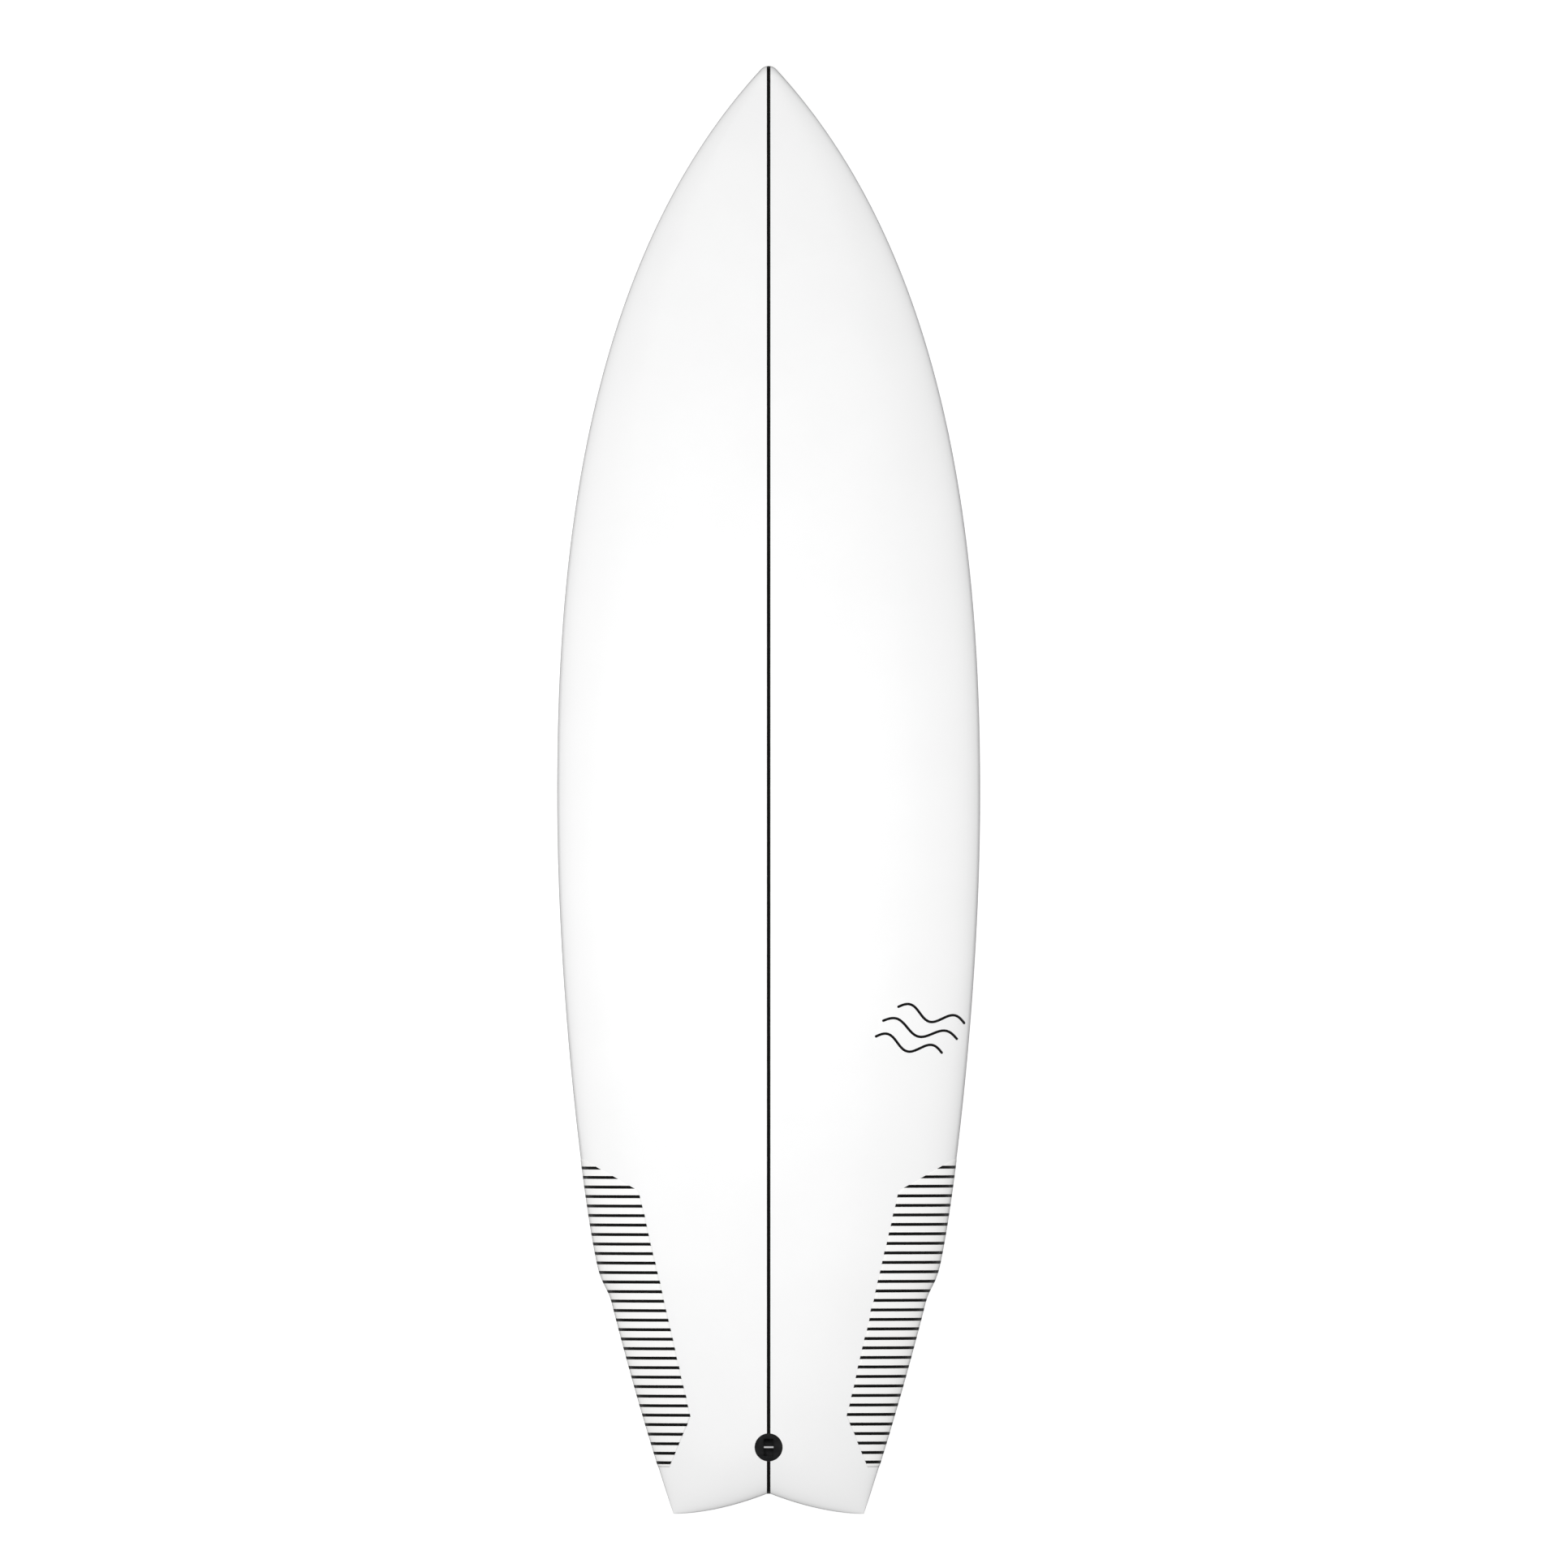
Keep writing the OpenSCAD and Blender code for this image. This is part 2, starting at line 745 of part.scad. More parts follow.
module fin_block(side) {
    color("khaki")
        on_floor()
            place(box_frame(side))
                difference() {
                    box_track(flange_w / 2 + block_margin, -block_depth, -box_flange_t - 1);
                    box_track(box_w / 2 + hole_gap / 2, -box_depth - hole_gap, 0);
                }
}

module fin_block_left() {
    fin_block(LEFT);
}

module fin_block_right() {
    fin_block(RIGHT);
}

module fin_block_center() {
    fin_block(CENTER);
}

module fin(side) {
    color("darkslategray")
        on_floor()
            place(box_frame(side))
                union() {
                    loft(fin_rings(side));
                    translate([-tab_t / 2, -tab_len / 2, -tab_depth])
                        cube([tab_t, tab_len, tab_depth + tab_top]);
                }
}

module fin_left() {
    fin(LEFT);
}

module fin_right() {
    fin(RIGHT);
}

module fin_center() {
    fin(CENTER);
}

module fin_screw(side) {
    color("silver")
        on_floor()
            place(box_frame(side))
                difference() {
                    screw_line(screw_d, 0, screw_len);
                    screw_line(socket_across_flats / cos(30), screw_len - 3, screw_len + 1, $fn = 6);
                }
}

module fin_screw_left() {
    fin_screw(LEFT);
}

module fin_screw_right() {
    fin_screw(RIGHT);
}

module fin_screw_center() {
    fin_screw(CENTER);
}

core_left();
core_right();
stringer();
deck_skin();
bottom_skin();
rail_patch_left();
rail_patch_right();
carbon_tows_left();
carbon_tows_right();
leash_plug_cup();
leash_plug_bar();
leash_plug_block();
fin_box_left();
fin_box_right();
fin_box_center();
fin_block_left();
fin_block_right();
fin_block_center();
fin_left();
fin_right();
fin_center();
fin_screw_left();
fin_screw_right();
fin_screw_center();
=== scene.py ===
import json
import math

import bmesh
import bpy
import numpy as np
from mathutils import Matrix, Vector


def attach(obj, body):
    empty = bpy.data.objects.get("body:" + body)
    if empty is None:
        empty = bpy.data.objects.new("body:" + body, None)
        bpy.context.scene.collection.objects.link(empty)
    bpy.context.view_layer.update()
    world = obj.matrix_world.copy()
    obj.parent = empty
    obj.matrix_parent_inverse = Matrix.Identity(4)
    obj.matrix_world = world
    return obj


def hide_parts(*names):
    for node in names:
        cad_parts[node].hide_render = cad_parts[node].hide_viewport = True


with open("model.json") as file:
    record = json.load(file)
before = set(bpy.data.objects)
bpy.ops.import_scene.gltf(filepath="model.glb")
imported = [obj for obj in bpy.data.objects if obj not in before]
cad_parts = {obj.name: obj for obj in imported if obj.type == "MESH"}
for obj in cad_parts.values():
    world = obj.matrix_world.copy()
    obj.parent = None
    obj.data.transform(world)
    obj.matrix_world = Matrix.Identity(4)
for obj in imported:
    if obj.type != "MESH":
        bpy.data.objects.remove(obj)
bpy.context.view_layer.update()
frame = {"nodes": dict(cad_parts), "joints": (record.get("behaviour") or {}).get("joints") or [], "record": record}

# ---------------------------------------------------------------------------------------
# Hull formulas, the same as the CAD's. They are in millimetres in the board's own frame:
# s runs from the nose tip to the tail, x to the right rail, z up, and y = BOARD_LEN / 2 - s.
# to_row() turns them into metres in the row frame.
# ---------------------------------------------------------------------------------------
MM = 0.001
BOARD_LEN, HALF_W, BOARD_T = 1778.0, 260.4, 63.5
WIDE_S, THICK_S, FLAT_S = 0.5034 * BOARD_LEN, 0.47 * BOARD_LEN, 0.52 * BOARD_LEN
SKIN_T, STRINGER_T = 1.2, 4.0

# plan outline
NOSE_R, NOSE_ANGLE = 13.0, math.radians(43)
WING_S, WING_END_S = BOARD_LEN - 306, BOARD_LEN - 258
WING_HALF_W = HALF_W - 49.7
TAIL_HALF_W, TAIL_SPREAD, TAIL_BEND = 117.1, 0.331, 0.00015
NOTCH_DEPTH, NOTCH_POWER = 25.5, 1.8

# rocker and thickness, as depths and the powers of their curves
NOSE_ROCKER, NOSE_ROCKER_POWER = 118.0, 2.6
TAIL_ROCKER, TAIL_ROCKER_POWER = 56.0, 2.2
NOSE_T, NOSE_T_POWER = 13.0, 1.65
TAIL_T, TAIL_T_POWER = 18.0, 2.1

# section: share of the thickness below the rail's widest line, roundness of deck and bottom
APEX_SHARE, TAIL_APEX_SHARE = 0.42, 0.3
DECK_POWER, NOSE_BOTTOM_POWER, BOTTOM_POWER, TAIL_BOTTOM_POWER = 2.4, 3.0, 4.5, 8.0
CONCAVE = 3.0
TAIL_ROUND, TAIL_ROUND_POWER, TAIL_DECK = 10.0, 3.0, 80.0
INSET_NOSE = 1.6  # an inner surface starts this many insets behind the nose tip
LAP_U = 0.92  # the deck skin wraps under the rail to this share of the half width


def mix(a, b, t):
    return a + (b - a) * t


def smooth(low, high, x):
    t = np.clip((x - low) / (high - low), 0, 1)
    return t * t * (3 - 2 * t)


def dome(u, power):
    return np.maximum(0, 1 - np.minimum(1, np.abs(u)) ** power) ** (1 / power)


def tail_half_w(s):
    d = BOARD_LEN - s
    return TAIL_HALF_W + TAIL_SPREAD * d - TAIL_BEND * d * d


def bezier(p, t):
    t = np.asarray(t)[:, None]
    p = np.array(p, float)
    return (1 - t) ** 3 * p[0] + 3 * (1 - t) ** 2 * t * p[1] + 3 * (1 - t) * t * t * p[2] + t ** 3 * p[3]


def outline_table():
    """The plan outline as dense (s, half width) pairs, from the nose arc to the wing's end."""
    along = np.array([math.cos(NOSE_ANGLE), math.sin(NOSE_ANGLE)])
    start = NOSE_R * np.array([1 - math.sin(NOSE_ANGLE), math.cos(NOSE_ANGLE)])
    wide, wing, end = (WIDE_S, HALF_W), (WING_S, WING_HALF_W), (WING_END_S, float(tail_half_w(WING_END_S)))
    curves = [
        [start, start + 336 * along, (wide[0] - 252, wide[1]), wide],
        [wide, (wide[0] + 239, wide[1]), (wing[0] - 80, wing[1] + 17.7), wing],
        [wing, (wing[0] + 26, wing[1] - 5.8), (end[0] - 20, end[1] + 5), end],
    ]
    t = np.linspace(0, 1, 3000)
    return np.concatenate([bezier(c, t) for c in curves])


OUTLINE = outline_table()


def half_width(s):
    s = np.asarray(s, float)
    tip = np.sqrt(np.maximum(0, 2 * NOSE_R * s - s * s))
    body = np.interp(s, OUTLINE[:, 0], OUTLINE[:, 1])
    return np.where(s < OUTLINE[0, 0], tip, np.where(s < WING_END_S, body, tail_half_w(s)))


def notch(x):
    return NOTCH_DEPTH * np.maximum(0, 1 - np.abs(x) / TAIL_HALF_W) ** NOTCH_POWER


def rocker(s):
    nose = NOSE_ROCKER * np.maximum(0, 1 - s / FLAT_S) ** NOSE_ROCKER_POWER
    tail = TAIL_ROCKER * np.maximum(0, (s - FLAT_S) / (BOARD_LEN - FLAT_S)) ** TAIL_ROCKER_POWER
    return nose + tail


def thickness(s):
    nose = mix(BOARD_T, NOSE_T, np.maximum(0, 1 - s / THICK_S) ** NOSE_T_POWER)
    tail = mix(BOARD_T, TAIL_T, np.maximum(0, (s - THICK_S) / (BOARD_LEN - THICK_S)) ** TAIL_T_POWER)
    return np.where(s < THICK_S, nose, tail)


def apex_share(s):
    return mix(APEX_SHARE, TAIL_APEX_SHARE, smooth(WIDE_S, BOARD_LEN, s))


def rail_z(s):
    return rocker(s) + apex_share(s) * thickness(s)


def bottom_power(s):
    nose = mix(NOSE_BOTTOM_POWER, BOTTOM_POWER, smooth(0, WIDE_S, s))
    tail = mix(BOTTOM_POWER, TAIL_BOTTOM_POWER, smooth(WIDE_S, BOARD_LEN, s))
    return np.where(s < WIDE_S, nose, tail)


def hollow(s):
    """Depth of the concave, which fades in behind the nose and out before the tail."""
    return CONCAVE * smooth(300, 800, s) * (1 - smooth(BOARD_LEN - 500, BOARD_LEN - 100, s))


def hull_z(s, x, deck, inset=0.0):
    """Height of the deck or of the bottom at s and x. deck may be an array of flags."""
    s, x = np.asarray(s, float), np.asarray(x, float)
    w = np.maximum(1e-6, half_width(s) - inset)
    u = np.minimum(1, np.abs(x) / w)
    nose_end = dome(1 - np.clip((s - INSET_NOSE * inset) / NOSE_R, 0, 1), 2)
    left = BOARD_LEN - notch(x) - s - inset
    deck_end = dome(1 - np.clip(left / TAIL_DECK, 0, 1), DECK_POWER)
    bottom_end = dome(1 - np.clip(left / TAIL_ROUND, 0, 1), TAIL_ROUND_POWER)
    h_deck = ((1 - apex_share(s)) * thickness(s) - inset) * nose_end * deck_end
    h_bottom = (apex_share(s) * thickness(s) - inset) * nose_end * bottom_end
    over = rail_z(s) + h_deck * dome(u, DECK_POWER)
    under = rail_z(s) - h_bottom * dome(u, bottom_power(s)) + hollow(s) * (1 - u * u) ** 2
    return np.where(deck, over, under)


NORMAL_STEP = 0.02


def hull_normal(s, x, deck):
    """Outward normal of the hull surface, in the board's frame."""
    s, x = np.asarray(s, float), np.asarray(x, float)
    x_in = x - np.sign(x) * np.minimum(NORMAL_STEP, np.abs(x) / 2 + 1e-9)
    x_in = np.where(np.abs(x) < NORMAL_STEP, x + NORMAL_STEP, x_in)
    s_in = np.where(s < BOARD_LEN / 2, s + NORMAL_STEP, s - NORMAL_STEP)
    z = hull_z(s, x, deck)
    z_x = (hull_z(s, x_in, deck) - z) / (x_in - x)
    z_s = (hull_z(s_in, x, deck) - z) / (s_in - s)
    up = np.where(deck, 1.0, -1.0)
    n = np.stack([-z_x * up, z_s * up, up * np.ones_like(z)], -1)
    return n / np.linalg.norm(n, axis=-1, keepdims=True)


def on_hull(s, x, deck, lift=0.0):
    """Points over the hull surface, lifted along its normal, in the board's frame."""
    s, x = np.broadcast_arrays(np.asarray(s, float), np.asarray(x, float))
    p = np.stack([x, BOARD_LEN / 2 - s, hull_z(s, x, deck)], -1)
    lift = np.broadcast_to(np.asarray(lift, float), s.shape)
    return p + hull_normal(s, x, deck) * lift[..., None]


# ---------------------------------------------------------------------------------------
# Places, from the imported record's joints and mount
# ---------------------------------------------------------------------------------------
PLUG_S, BAR_Z = BOARD_LEN - 82, -3.2
SLOPE_STEP = 20
SIDES = {"left": -1, "right": 1, "center": 0}
TAB_LEN, TAB_T, TAB_DEPTH, TAB_TOP = 113.4, 6.4, 16.5, 0.9
SCREW_R, SCREW_GAP, SCREW_MOUTH_Y = 2.5, 0.15, 64.7
SCREW_TIP_Y = TAB_LEN / 2 + SCREW_R * math.cos(math.pi / 4) + SCREW_GAP

JOINTS = {j["name"]: j for j in frame["joints"]}
LEASH_BAR = next(m for m in frame["record"]["mounts"] if m["name"] == "leash_bar")


def board_placing():
    """The board's lean and shift, from the leash bar's place and direction."""
    rise = hull_z([PLUG_S - SLOPE_STEP, PLUG_S + SLOPE_STEP], [0, 0], True)
    slope = math.atan((rise[0] - rise[1]) / (2 * SLOPE_STEP))
    up = np.array([0, -math.sin(slope), math.cos(slope)])
    axis = LEASH_BAR["axis"]
    lean = math.atan2(axis[1], axis[2]) - math.atan2(up[1], up[2])
    turn = np.array([[1, 0, 0], [0, math.cos(lean), math.sin(lean)], [0, -math.sin(lean), math.cos(lean)]])
    bar = np.array([0, BOARD_LEN / 2 - PLUG_S, float(hull_z(PLUG_S, 0, True))]) + BAR_Z * up
    return turn, np.array(LEASH_BAR["pos_m"]) - turn @ bar * MM


TURN, SHIFT = board_placing()


def to_row(points):
    return np.asarray(points) @ TURN.T * MM + SHIFT


def to_board(points):
    return (np.asarray(points) - SHIFT) @ TURN / MM


def matrix_of(x, y, z, origin):
    """A local frame in millimetres, from its axes and its origin in metres."""
    m = Matrix.Identity(4)
    for column, axis in enumerate((x, y, z)):
        for row in range(3):
            m[row][column] = axis[row] * MM
    m.translation = Vector(origin)
    return m


def box_place(side):
    """A fin box's frame: z out of the board along the fin's slide, y forward."""
    z = Vector(JOINTS[f"fin_{side}_slide"]["axis"]).normalized()
    screw = JOINTS[f"fin_screw_{side}_turn"]
    y = (Vector(screw["axis"]).normalized() * math.sqrt(2) - z).normalized()
    drop = SCREW_TIP_Y - SCREW_MOUTH_Y
    origin = Vector(screw["pos_m"]) - (y * SCREW_TIP_Y + z * drop) * MM
    return matrix_of(y.cross(z), y, z, origin)


def plug_place():
    """The leash plug's frame: z out of the deck, y along the board."""
    x, z = Vector((1, 0, 0)), Vector(LEASH_BAR["axis"]).normalized()
    return matrix_of(x, z.cross(x), z, Vector(LEASH_BAR["pos_m"]) - z * BAR_Z * MM)


# ---------------------------------------------------------------------------------------
# Mesh helpers
# ---------------------------------------------------------------------------------------
CLEAN_DIST, SLIVER_DIST = 0.001 * MM, 0.0005 * MM
SHARP_ANGLE, BEVEL_ANGLE = math.radians(38), math.radians(40)


def new_object(name, vertices, faces, materials=(), face_slots=None, smooth_shade=True):
    mesh = bpy.data.meshes.new(name)
    mesh.from_pydata([tuple(v) for v in vertices], [], [tuple(map(int, f)) for f in faces])
    for m in materials:
        mesh.materials.append(m)
    if face_slots is not None:
        mesh.polygons.foreach_set("material_index", np.asarray(face_slots, np.int32))
    mesh.polygons.foreach_set("use_smooth", [smooth_shade] * len(mesh.polygons))
    mesh.validate()
    mesh.update()
    obj = bpy.data.objects.new(name, mesh)
    bpy.context.scene.collection.objects.link(obj)
    return obj


def sheet_faces(rows, cols):
    """Quads of a closed sheet: an outer grid, an inner grid and the rim between them."""
    n = rows * cols
    i, j = np.meshgrid(np.arange(rows - 1), np.arange(cols - 1), indexing="ij")
    a = (i * cols + j).ravel()
    outer = np.stack([a, a + cols, a + cols + 1, a + 1], 1)
    inner = outer[:, ::-1] + n
    start = np.arange(cols)
    end = np.arange(cols)[::-1] + (rows - 1) * cols
    left = np.arange(rows)[::-1] * cols
    right = np.arange(rows) * cols + cols - 1
    rim = [np.stack([c[:-1], c[1:], c[1:] + n, c[:-1] + n], 1) for c in (start, right, end, left)]
    return outer, inner, np.concatenate(rim)


def sheet(name, outer, inner, materials, outer_slots=0):
    """A closed sheet between two grids of points in the board's frame.

    Its inner side and rim take the last material.
    """
    rows, cols = outer.shape[:2]
    faces_out, faces_in, rim = sheet_faces(rows, cols)
    slots = np.full(len(faces_out) + len(faces_in) + len(rim), len(materials) - 1)
    slots[: len(faces_out)] = outer_slots
    points = to_row(np.concatenate([outer.reshape(-1, 3), inner.reshape(-1, 3)]))
    return new_object(name, points, np.concatenate([faces_out, faces_in, rim]), materials, slots)


def prism(name, outline, low, high, place, materials=()):
    """A prism over a flat outline of (x, y) points, in a local frame given as a 4x4 matrix."""
    n = len(outline)
    points = [place @ Vector((x, y, z)) for z in (low, high) for x, y in outline]
    sides = [(i, (i + 1) % n, (i + 1) % n + n, i + n) for i in range(n)]
    ends = [tuple(reversed(range(n))), tuple(range(n, 2 * n))]
    return new_object(name, points, sides + ends, materials, smooth_shade=False)


def track(radius, rear, front, steps=24):
    """Outline of a round-ended track along y."""
    turn = np.linspace(0, math.pi, steps)
    ahead = [(radius * math.cos(a), front + radius * math.sin(a)) for a in turn]
    behind = [(-radius * math.cos(a), rear - radius * math.sin(a)) for a in turn]
    return ahead + behind


def join(name, objects):
    """Joins meshes into the first one and renames it."""
    bpy.ops.object.select_all(action="DESELECT")
    for o in objects:
        o.select_set(True)
    bpy.context.view_layer.objects.active = objects[0]
    bpy.ops.object.join()
    objects[0].name = name
    objects[0].data.name = name
    return objects[0]


def bake_modifier(obj, modifier):
    bpy.context.view_layer.objects.active = obj
    bpy.ops.object.modifier_apply(modifier=modifier.name)


def boolean(obj, cutter, operation="DIFFERENCE"):
    """Applies one exact boolean and removes the cutter."""
    cut = obj.modifiers.new("cut", "BOOLEAN")
    cut.operation = operation
    cut.solver = "EXACT"
    cut.object = cutter
    bake_modifier(obj, cut)
    bpy.data.objects.remove(cutter)


def soft_edges(obj, width):
    """A rounding of the given width in millimetres on the object's sharp edges."""
    bevel = obj.modifiers.new("soft_edges", "BEVEL")
    bevel.width = width * MM
    bevel.segments = 2
    bevel.limit_method = "ANGLE"
    bevel.angle_limit = BEVEL_ANGLE
    return bevel


def clean(obj):
    """Removes slivers that a boolean leaves, and shades the object smooth up to its sharp edges."""
    mesh = bmesh.new()
    mesh.from_mesh(obj.data)
    bmesh.ops.remove_doubles(mesh, verts=mesh.verts, dist=CLEAN_DIST)
    bmesh.ops.dissolve_degenerate(mesh, dist=SLIVER_DIST, edges=mesh.edges)
    mesh.to_mesh(obj.data)
    mesh.free()
    obj.data.polygons.foreach_set("use_smooth", [True] * len(obj.data.polygons))
    obj.data.set_sharp_from_angle(angle=SHARP_ANGLE)


def read_values(items, key, kind=np.int32, width=1):
    """One property of all of a mesh's items, as an array with a row for each item."""
    values = np.zeros(len(items) * width, kind)
    items.foreach_get(key, values)
    return values.reshape(-1, width) if width > 1 else values


# ---------------------------------------------------------------------------------------
# Materials
# ---------------------------------------------------------------------------------------
WAVE_PERIOD = 0.318  # of a wave texture's bands at scale 1


class Graph:
    """A short way to write a node graph."""

    def __init__(self, tree):
        self.tree = tree

    def add(self, kind, inputs=(), **settings):
        node = self.tree.nodes.new(kind)
        for key, value in settings.items():
            setattr(node, key, value)
        for key, value in dict(inputs).items():
            self.put(node.inputs[key], value)
        return node

    def put(self, socket, value):
        if isinstance(value, bpy.types.NodeSocket):
            self.tree.links.new(value, socket)
        else:
            socket.default_value = value

    def math(self, operation, a, b):
        return self.add("ShaderNodeMath", {0: a, 1: b}, operation=operation).outputs[0]

    def range(self, value, low, high, to_low=0, to_high=1):
        inputs = {"Value": value, "From Min": low, "From Max": high, "To Min": to_low, "To Max": to_high}
        return self.add("ShaderNodeMapRange", inputs).outputs["Result"]


class Surface(Graph):
    """A material's graph. Its textures lie in object coordinates in millimetres."""

    def __init__(self, name, color, roughness, **shader):
        self.material = bpy.data.materials.new(name)
        self.material.use_nodes = True
        self.material.diffuse_color = (*color, 1)
        super().__init__(self.material.node_tree)
        self.shader = self.tree.nodes["Principled BSDF"]
        self.shader.inputs["Base Color"].default_value = (*color, 1)
        self.shader.inputs["Roughness"].default_value = roughness
        for key, value in shader.items():
            self.shader.inputs[key.replace("_", " ")].default_value = value

    def place(self, scale=(1, 1, 1), turn=(0, 0, 0)):
        """Object coordinates in millimetres, scaled and turned."""
        at = self.add("ShaderNodeTexCoord").outputs["Object"]
        scale = tuple(c / MM for c in scale)
        inputs = {"Vector": at, "Scale": scale, "Rotation": turn}
        return self.add("ShaderNodeMapping", inputs).outputs["Vector"]

    def noise(self, at, scale=1.0, detail=3.0, rough=0.5):
        inputs = {"Vector": at, "Scale": scale, "Detail": detail, "Roughness": rough}
        return self.add("ShaderNodeTexNoise", inputs).outputs["Fac"]

    def cells(self, at, scale, **inputs):
        """Distance to the edges between cells."""
        inputs = {"Vector": at, "Scale": scale, **inputs}
        return self.add("ShaderNodeTexVoronoi", inputs, feature="DISTANCE_TO_EDGE").outputs["Distance"]

    def weave(self, at, scale):
        """A plain weave: threads over and under each other, WAVE_PERIOD / scale millimetres apart."""
        inputs = {"Vector": at, "Scale": scale, "Distortion": 0.4}
        warp, weft = (self.add("ShaderNodeTexWave", inputs, bands_direction=d).outputs["Fac"] for d in "XY")
        squares = {"Vector": at, "Scale": 2 * scale / WAVE_PERIOD}
        checks = self.add("ShaderNodeTexChecker", squares).outputs["Fac"]
        over = self.math("MULTIPLY", warp, checks)
        under = self.math("MULTIPLY", weft, self.math("SUBTRACT", 1.0, checks))
        return self.math("ADD", over, under)

    def color(self, factor, a, b):
        """Base colour between a and b. Either may be another blend."""
        self.put(self.shader.inputs["Base Color"], self.blend(factor, a, b))

    def blend(self, factor, a, b):
        node = self.add("ShaderNodeMix", data_type="RGBA")
        self.put(node.inputs[0], factor)
        self.put(node.inputs[6], (*a, 1) if isinstance(a, tuple) else a)
        self.put(node.inputs[7], (*b, 1) if isinstance(b, tuple) else b)
        return node.outputs[2]

    def rough(self, value):
        self.put(self.shader.inputs["Roughness"], value)

    def bump(self, *layers):
        """Stacks (height, distance in mm, strength) layers onto the shader's normal."""
        inputs = {}
        for height, distance, strength in layers:
            inputs.update({"Height": height, "Distance": distance * MM, "Strength": strength})
            inputs["Normal"] = self.add("ShaderNodeBump", inputs).outputs["Normal"]
        self.put(self.shader.inputs["Normal"], inputs["Normal"])

    def swell(self, at):
        """A bump layer: the slight unevenness of hand-laid laminate."""
        return self.noise(at, 0.02, 2), 0.25, 0.3


def laminate_material(name, color, darker):
    """White pigmented glass and epoxy under a polished gloss coat: weave, clouds and sanding marks."""
    m = Surface(name, color, 0.16, Coat_Weight=0.7, Coat_Roughness=0.03)
    at = m.place()
    weave = m.weave(at, 0.28)
    shade = m.math("ADD", m.range(m.noise(at, 0.012, 4), 0.35, 0.7), m.range(weave, 0, 1, 0, 0.35))
    m.color(m.range(shade, 0, 1.35), color, darker)
    marks = m.noise(m.place((0.08, 2.2, 0.08), (0, 0, 0.5)), 1.0, 5, 0.65)
    wear = m.math("ADD", m.noise(at, 0.05, 5), m.math("MULTIPLY", marks, 0.4))
    m.rough(m.range(wear, 0.4, 1.0, 0.12, 0.22))
    m.bump(m.swell(at), (m.noise(at, 0.16, 3), 0.03, 0.3), (weave, 0.012, 0.4))
    return m.material


def stringer_material():
    """Black stringer seen through the laminate, with long faint grain."""
    m = Surface("stringer_line", (0.004, 0.004, 0.004), 0.2, Coat_Weight=0.5, Coat_Roughness=0.03)
    grain = m.noise(m.place((3.0, 0.02, 3.0)), 1.0, 5, 0.6)
    m.color(m.range(grain, 0.35, 0.7), (0.003, 0.003, 0.003), (0.007, 0.0067, 0.0063))
    m.bump(m.swell(m.place()), (grain, 0.01, 0.2))
    return m.material


def patch_material():
    """Clear glass cloth over white: a fine plain weave with a slightly warm tint."""
    m = Surface("patch_cloth", (0.79, 0.785, 0.772), 0.22, Coat_Weight=0.6, Coat_Roughness=0.05)
    at = m.place()
    weave = m.weave(at, 0.2)
    cloud = m.noise(at, 0.05, 4)
    shade = m.math("ADD", m.math("MULTIPLY", weave, 0.6), m.math("MULTIPLY", cloud, 0.5))
    m.color(m.range(shade, 0.2, 0.85), (0.80, 0.797, 0.787), (0.84, 0.837, 0.828))
    m.rough(m.range(cloud, 0.3, 0.7, 0.16, 0.28))
    m.bump(m.swell(at), (weave, 0.03, 0.5))
    return m.material


def tow_material():
    """Black carbon tow: fibres run along the strip, under gloss resin."""
    m = Surface("carbon_tow", (0.004, 0.004, 0.0038), 0.3, Coat_Weight=0.7, Coat_Roughness=0.06)
    fibre = m.noise(m.place((0.05, 5.0, 0.05)), 1.0, 6, 0.7)
    cloud = m.noise(m.place((0.06, 0.3, 0.06)), 1.0, 3)
    m.color(m.range(fibre, 0.3, 0.75), (0.002, 0.002, 0.0019), (0.01, 0.0097, 0.0092))
    m.rough(m.range(cloud, 0.3, 0.7, 0.22, 0.38))
    m.bump((fibre, 0.01, 0.3), (cloud, 0.04, 0.2))
    return m.material


def ink_material():
    """Matt black printed line under the gloss."""
    m = Surface("printed_ink", (0.004, 0.004, 0.004), 0.25, Coat_Weight=0.5, Coat_Roughness=0.03)
    m.color(m.range(m.noise(m.place(), 0.5, 4), 0.3, 0.7), (0.003, 0.003, 0.003), (0.008, 0.008, 0.008))
    return m.material


def moulded_material(name, color, lighter, roughness):
    """Moulded plastic with a fine spark-eroded grain."""
    m = Surface(name, color, roughness)
    at = m.place()
    m.color(m.range(m.noise(at, 0.12, 4), 0.3, 0.75), color, lighter)
    m.rough(m.range(m.noise(at, 0.4, 4), 0.3, 0.7, roughness - 0.08, roughness + 0.1))
    m.bump((m.noise(at, 2.2, 3, 0.6), 0.12, 0.7))
    return m.material


def steel_material():
    """Satin stainless steel with fine scratches."""
    m = Surface("satin_steel", (0.85, 0.85, 0.86), 0.4, Metallic=0.35)
    scratch = m.noise(m.place((0.4, 7.0, 7.0)), 1.0, 5, 0.7)
    m.color(m.range(scratch, 0.3, 0.7), (0.6, 0.6, 0.61), (0.78, 0.78, 0.79))
    m.rough(m.range(scratch, 0.3, 0.7, 0.28, 0.5))
    m.bump((scratch, 0.01, 0.4))
    return m.material


def foam_material(name, color, darker, bead):
    """Expanded foam: cut beads of about the given size in millimetres."""
    m = Surface(name, color, 0.8, Subsurface_Weight=0.1)
    at = m.place()
    walls = m.cells(at, 1 / bead)
    m.color(m.range(walls, 0.0, 0.12), darker, color)
    m.bump((m.range(walls, 0.0, 0.2), 0.3, 0.5), (m.noise(at, 1.5, 4), 0.1, 0.4))
    return m.material


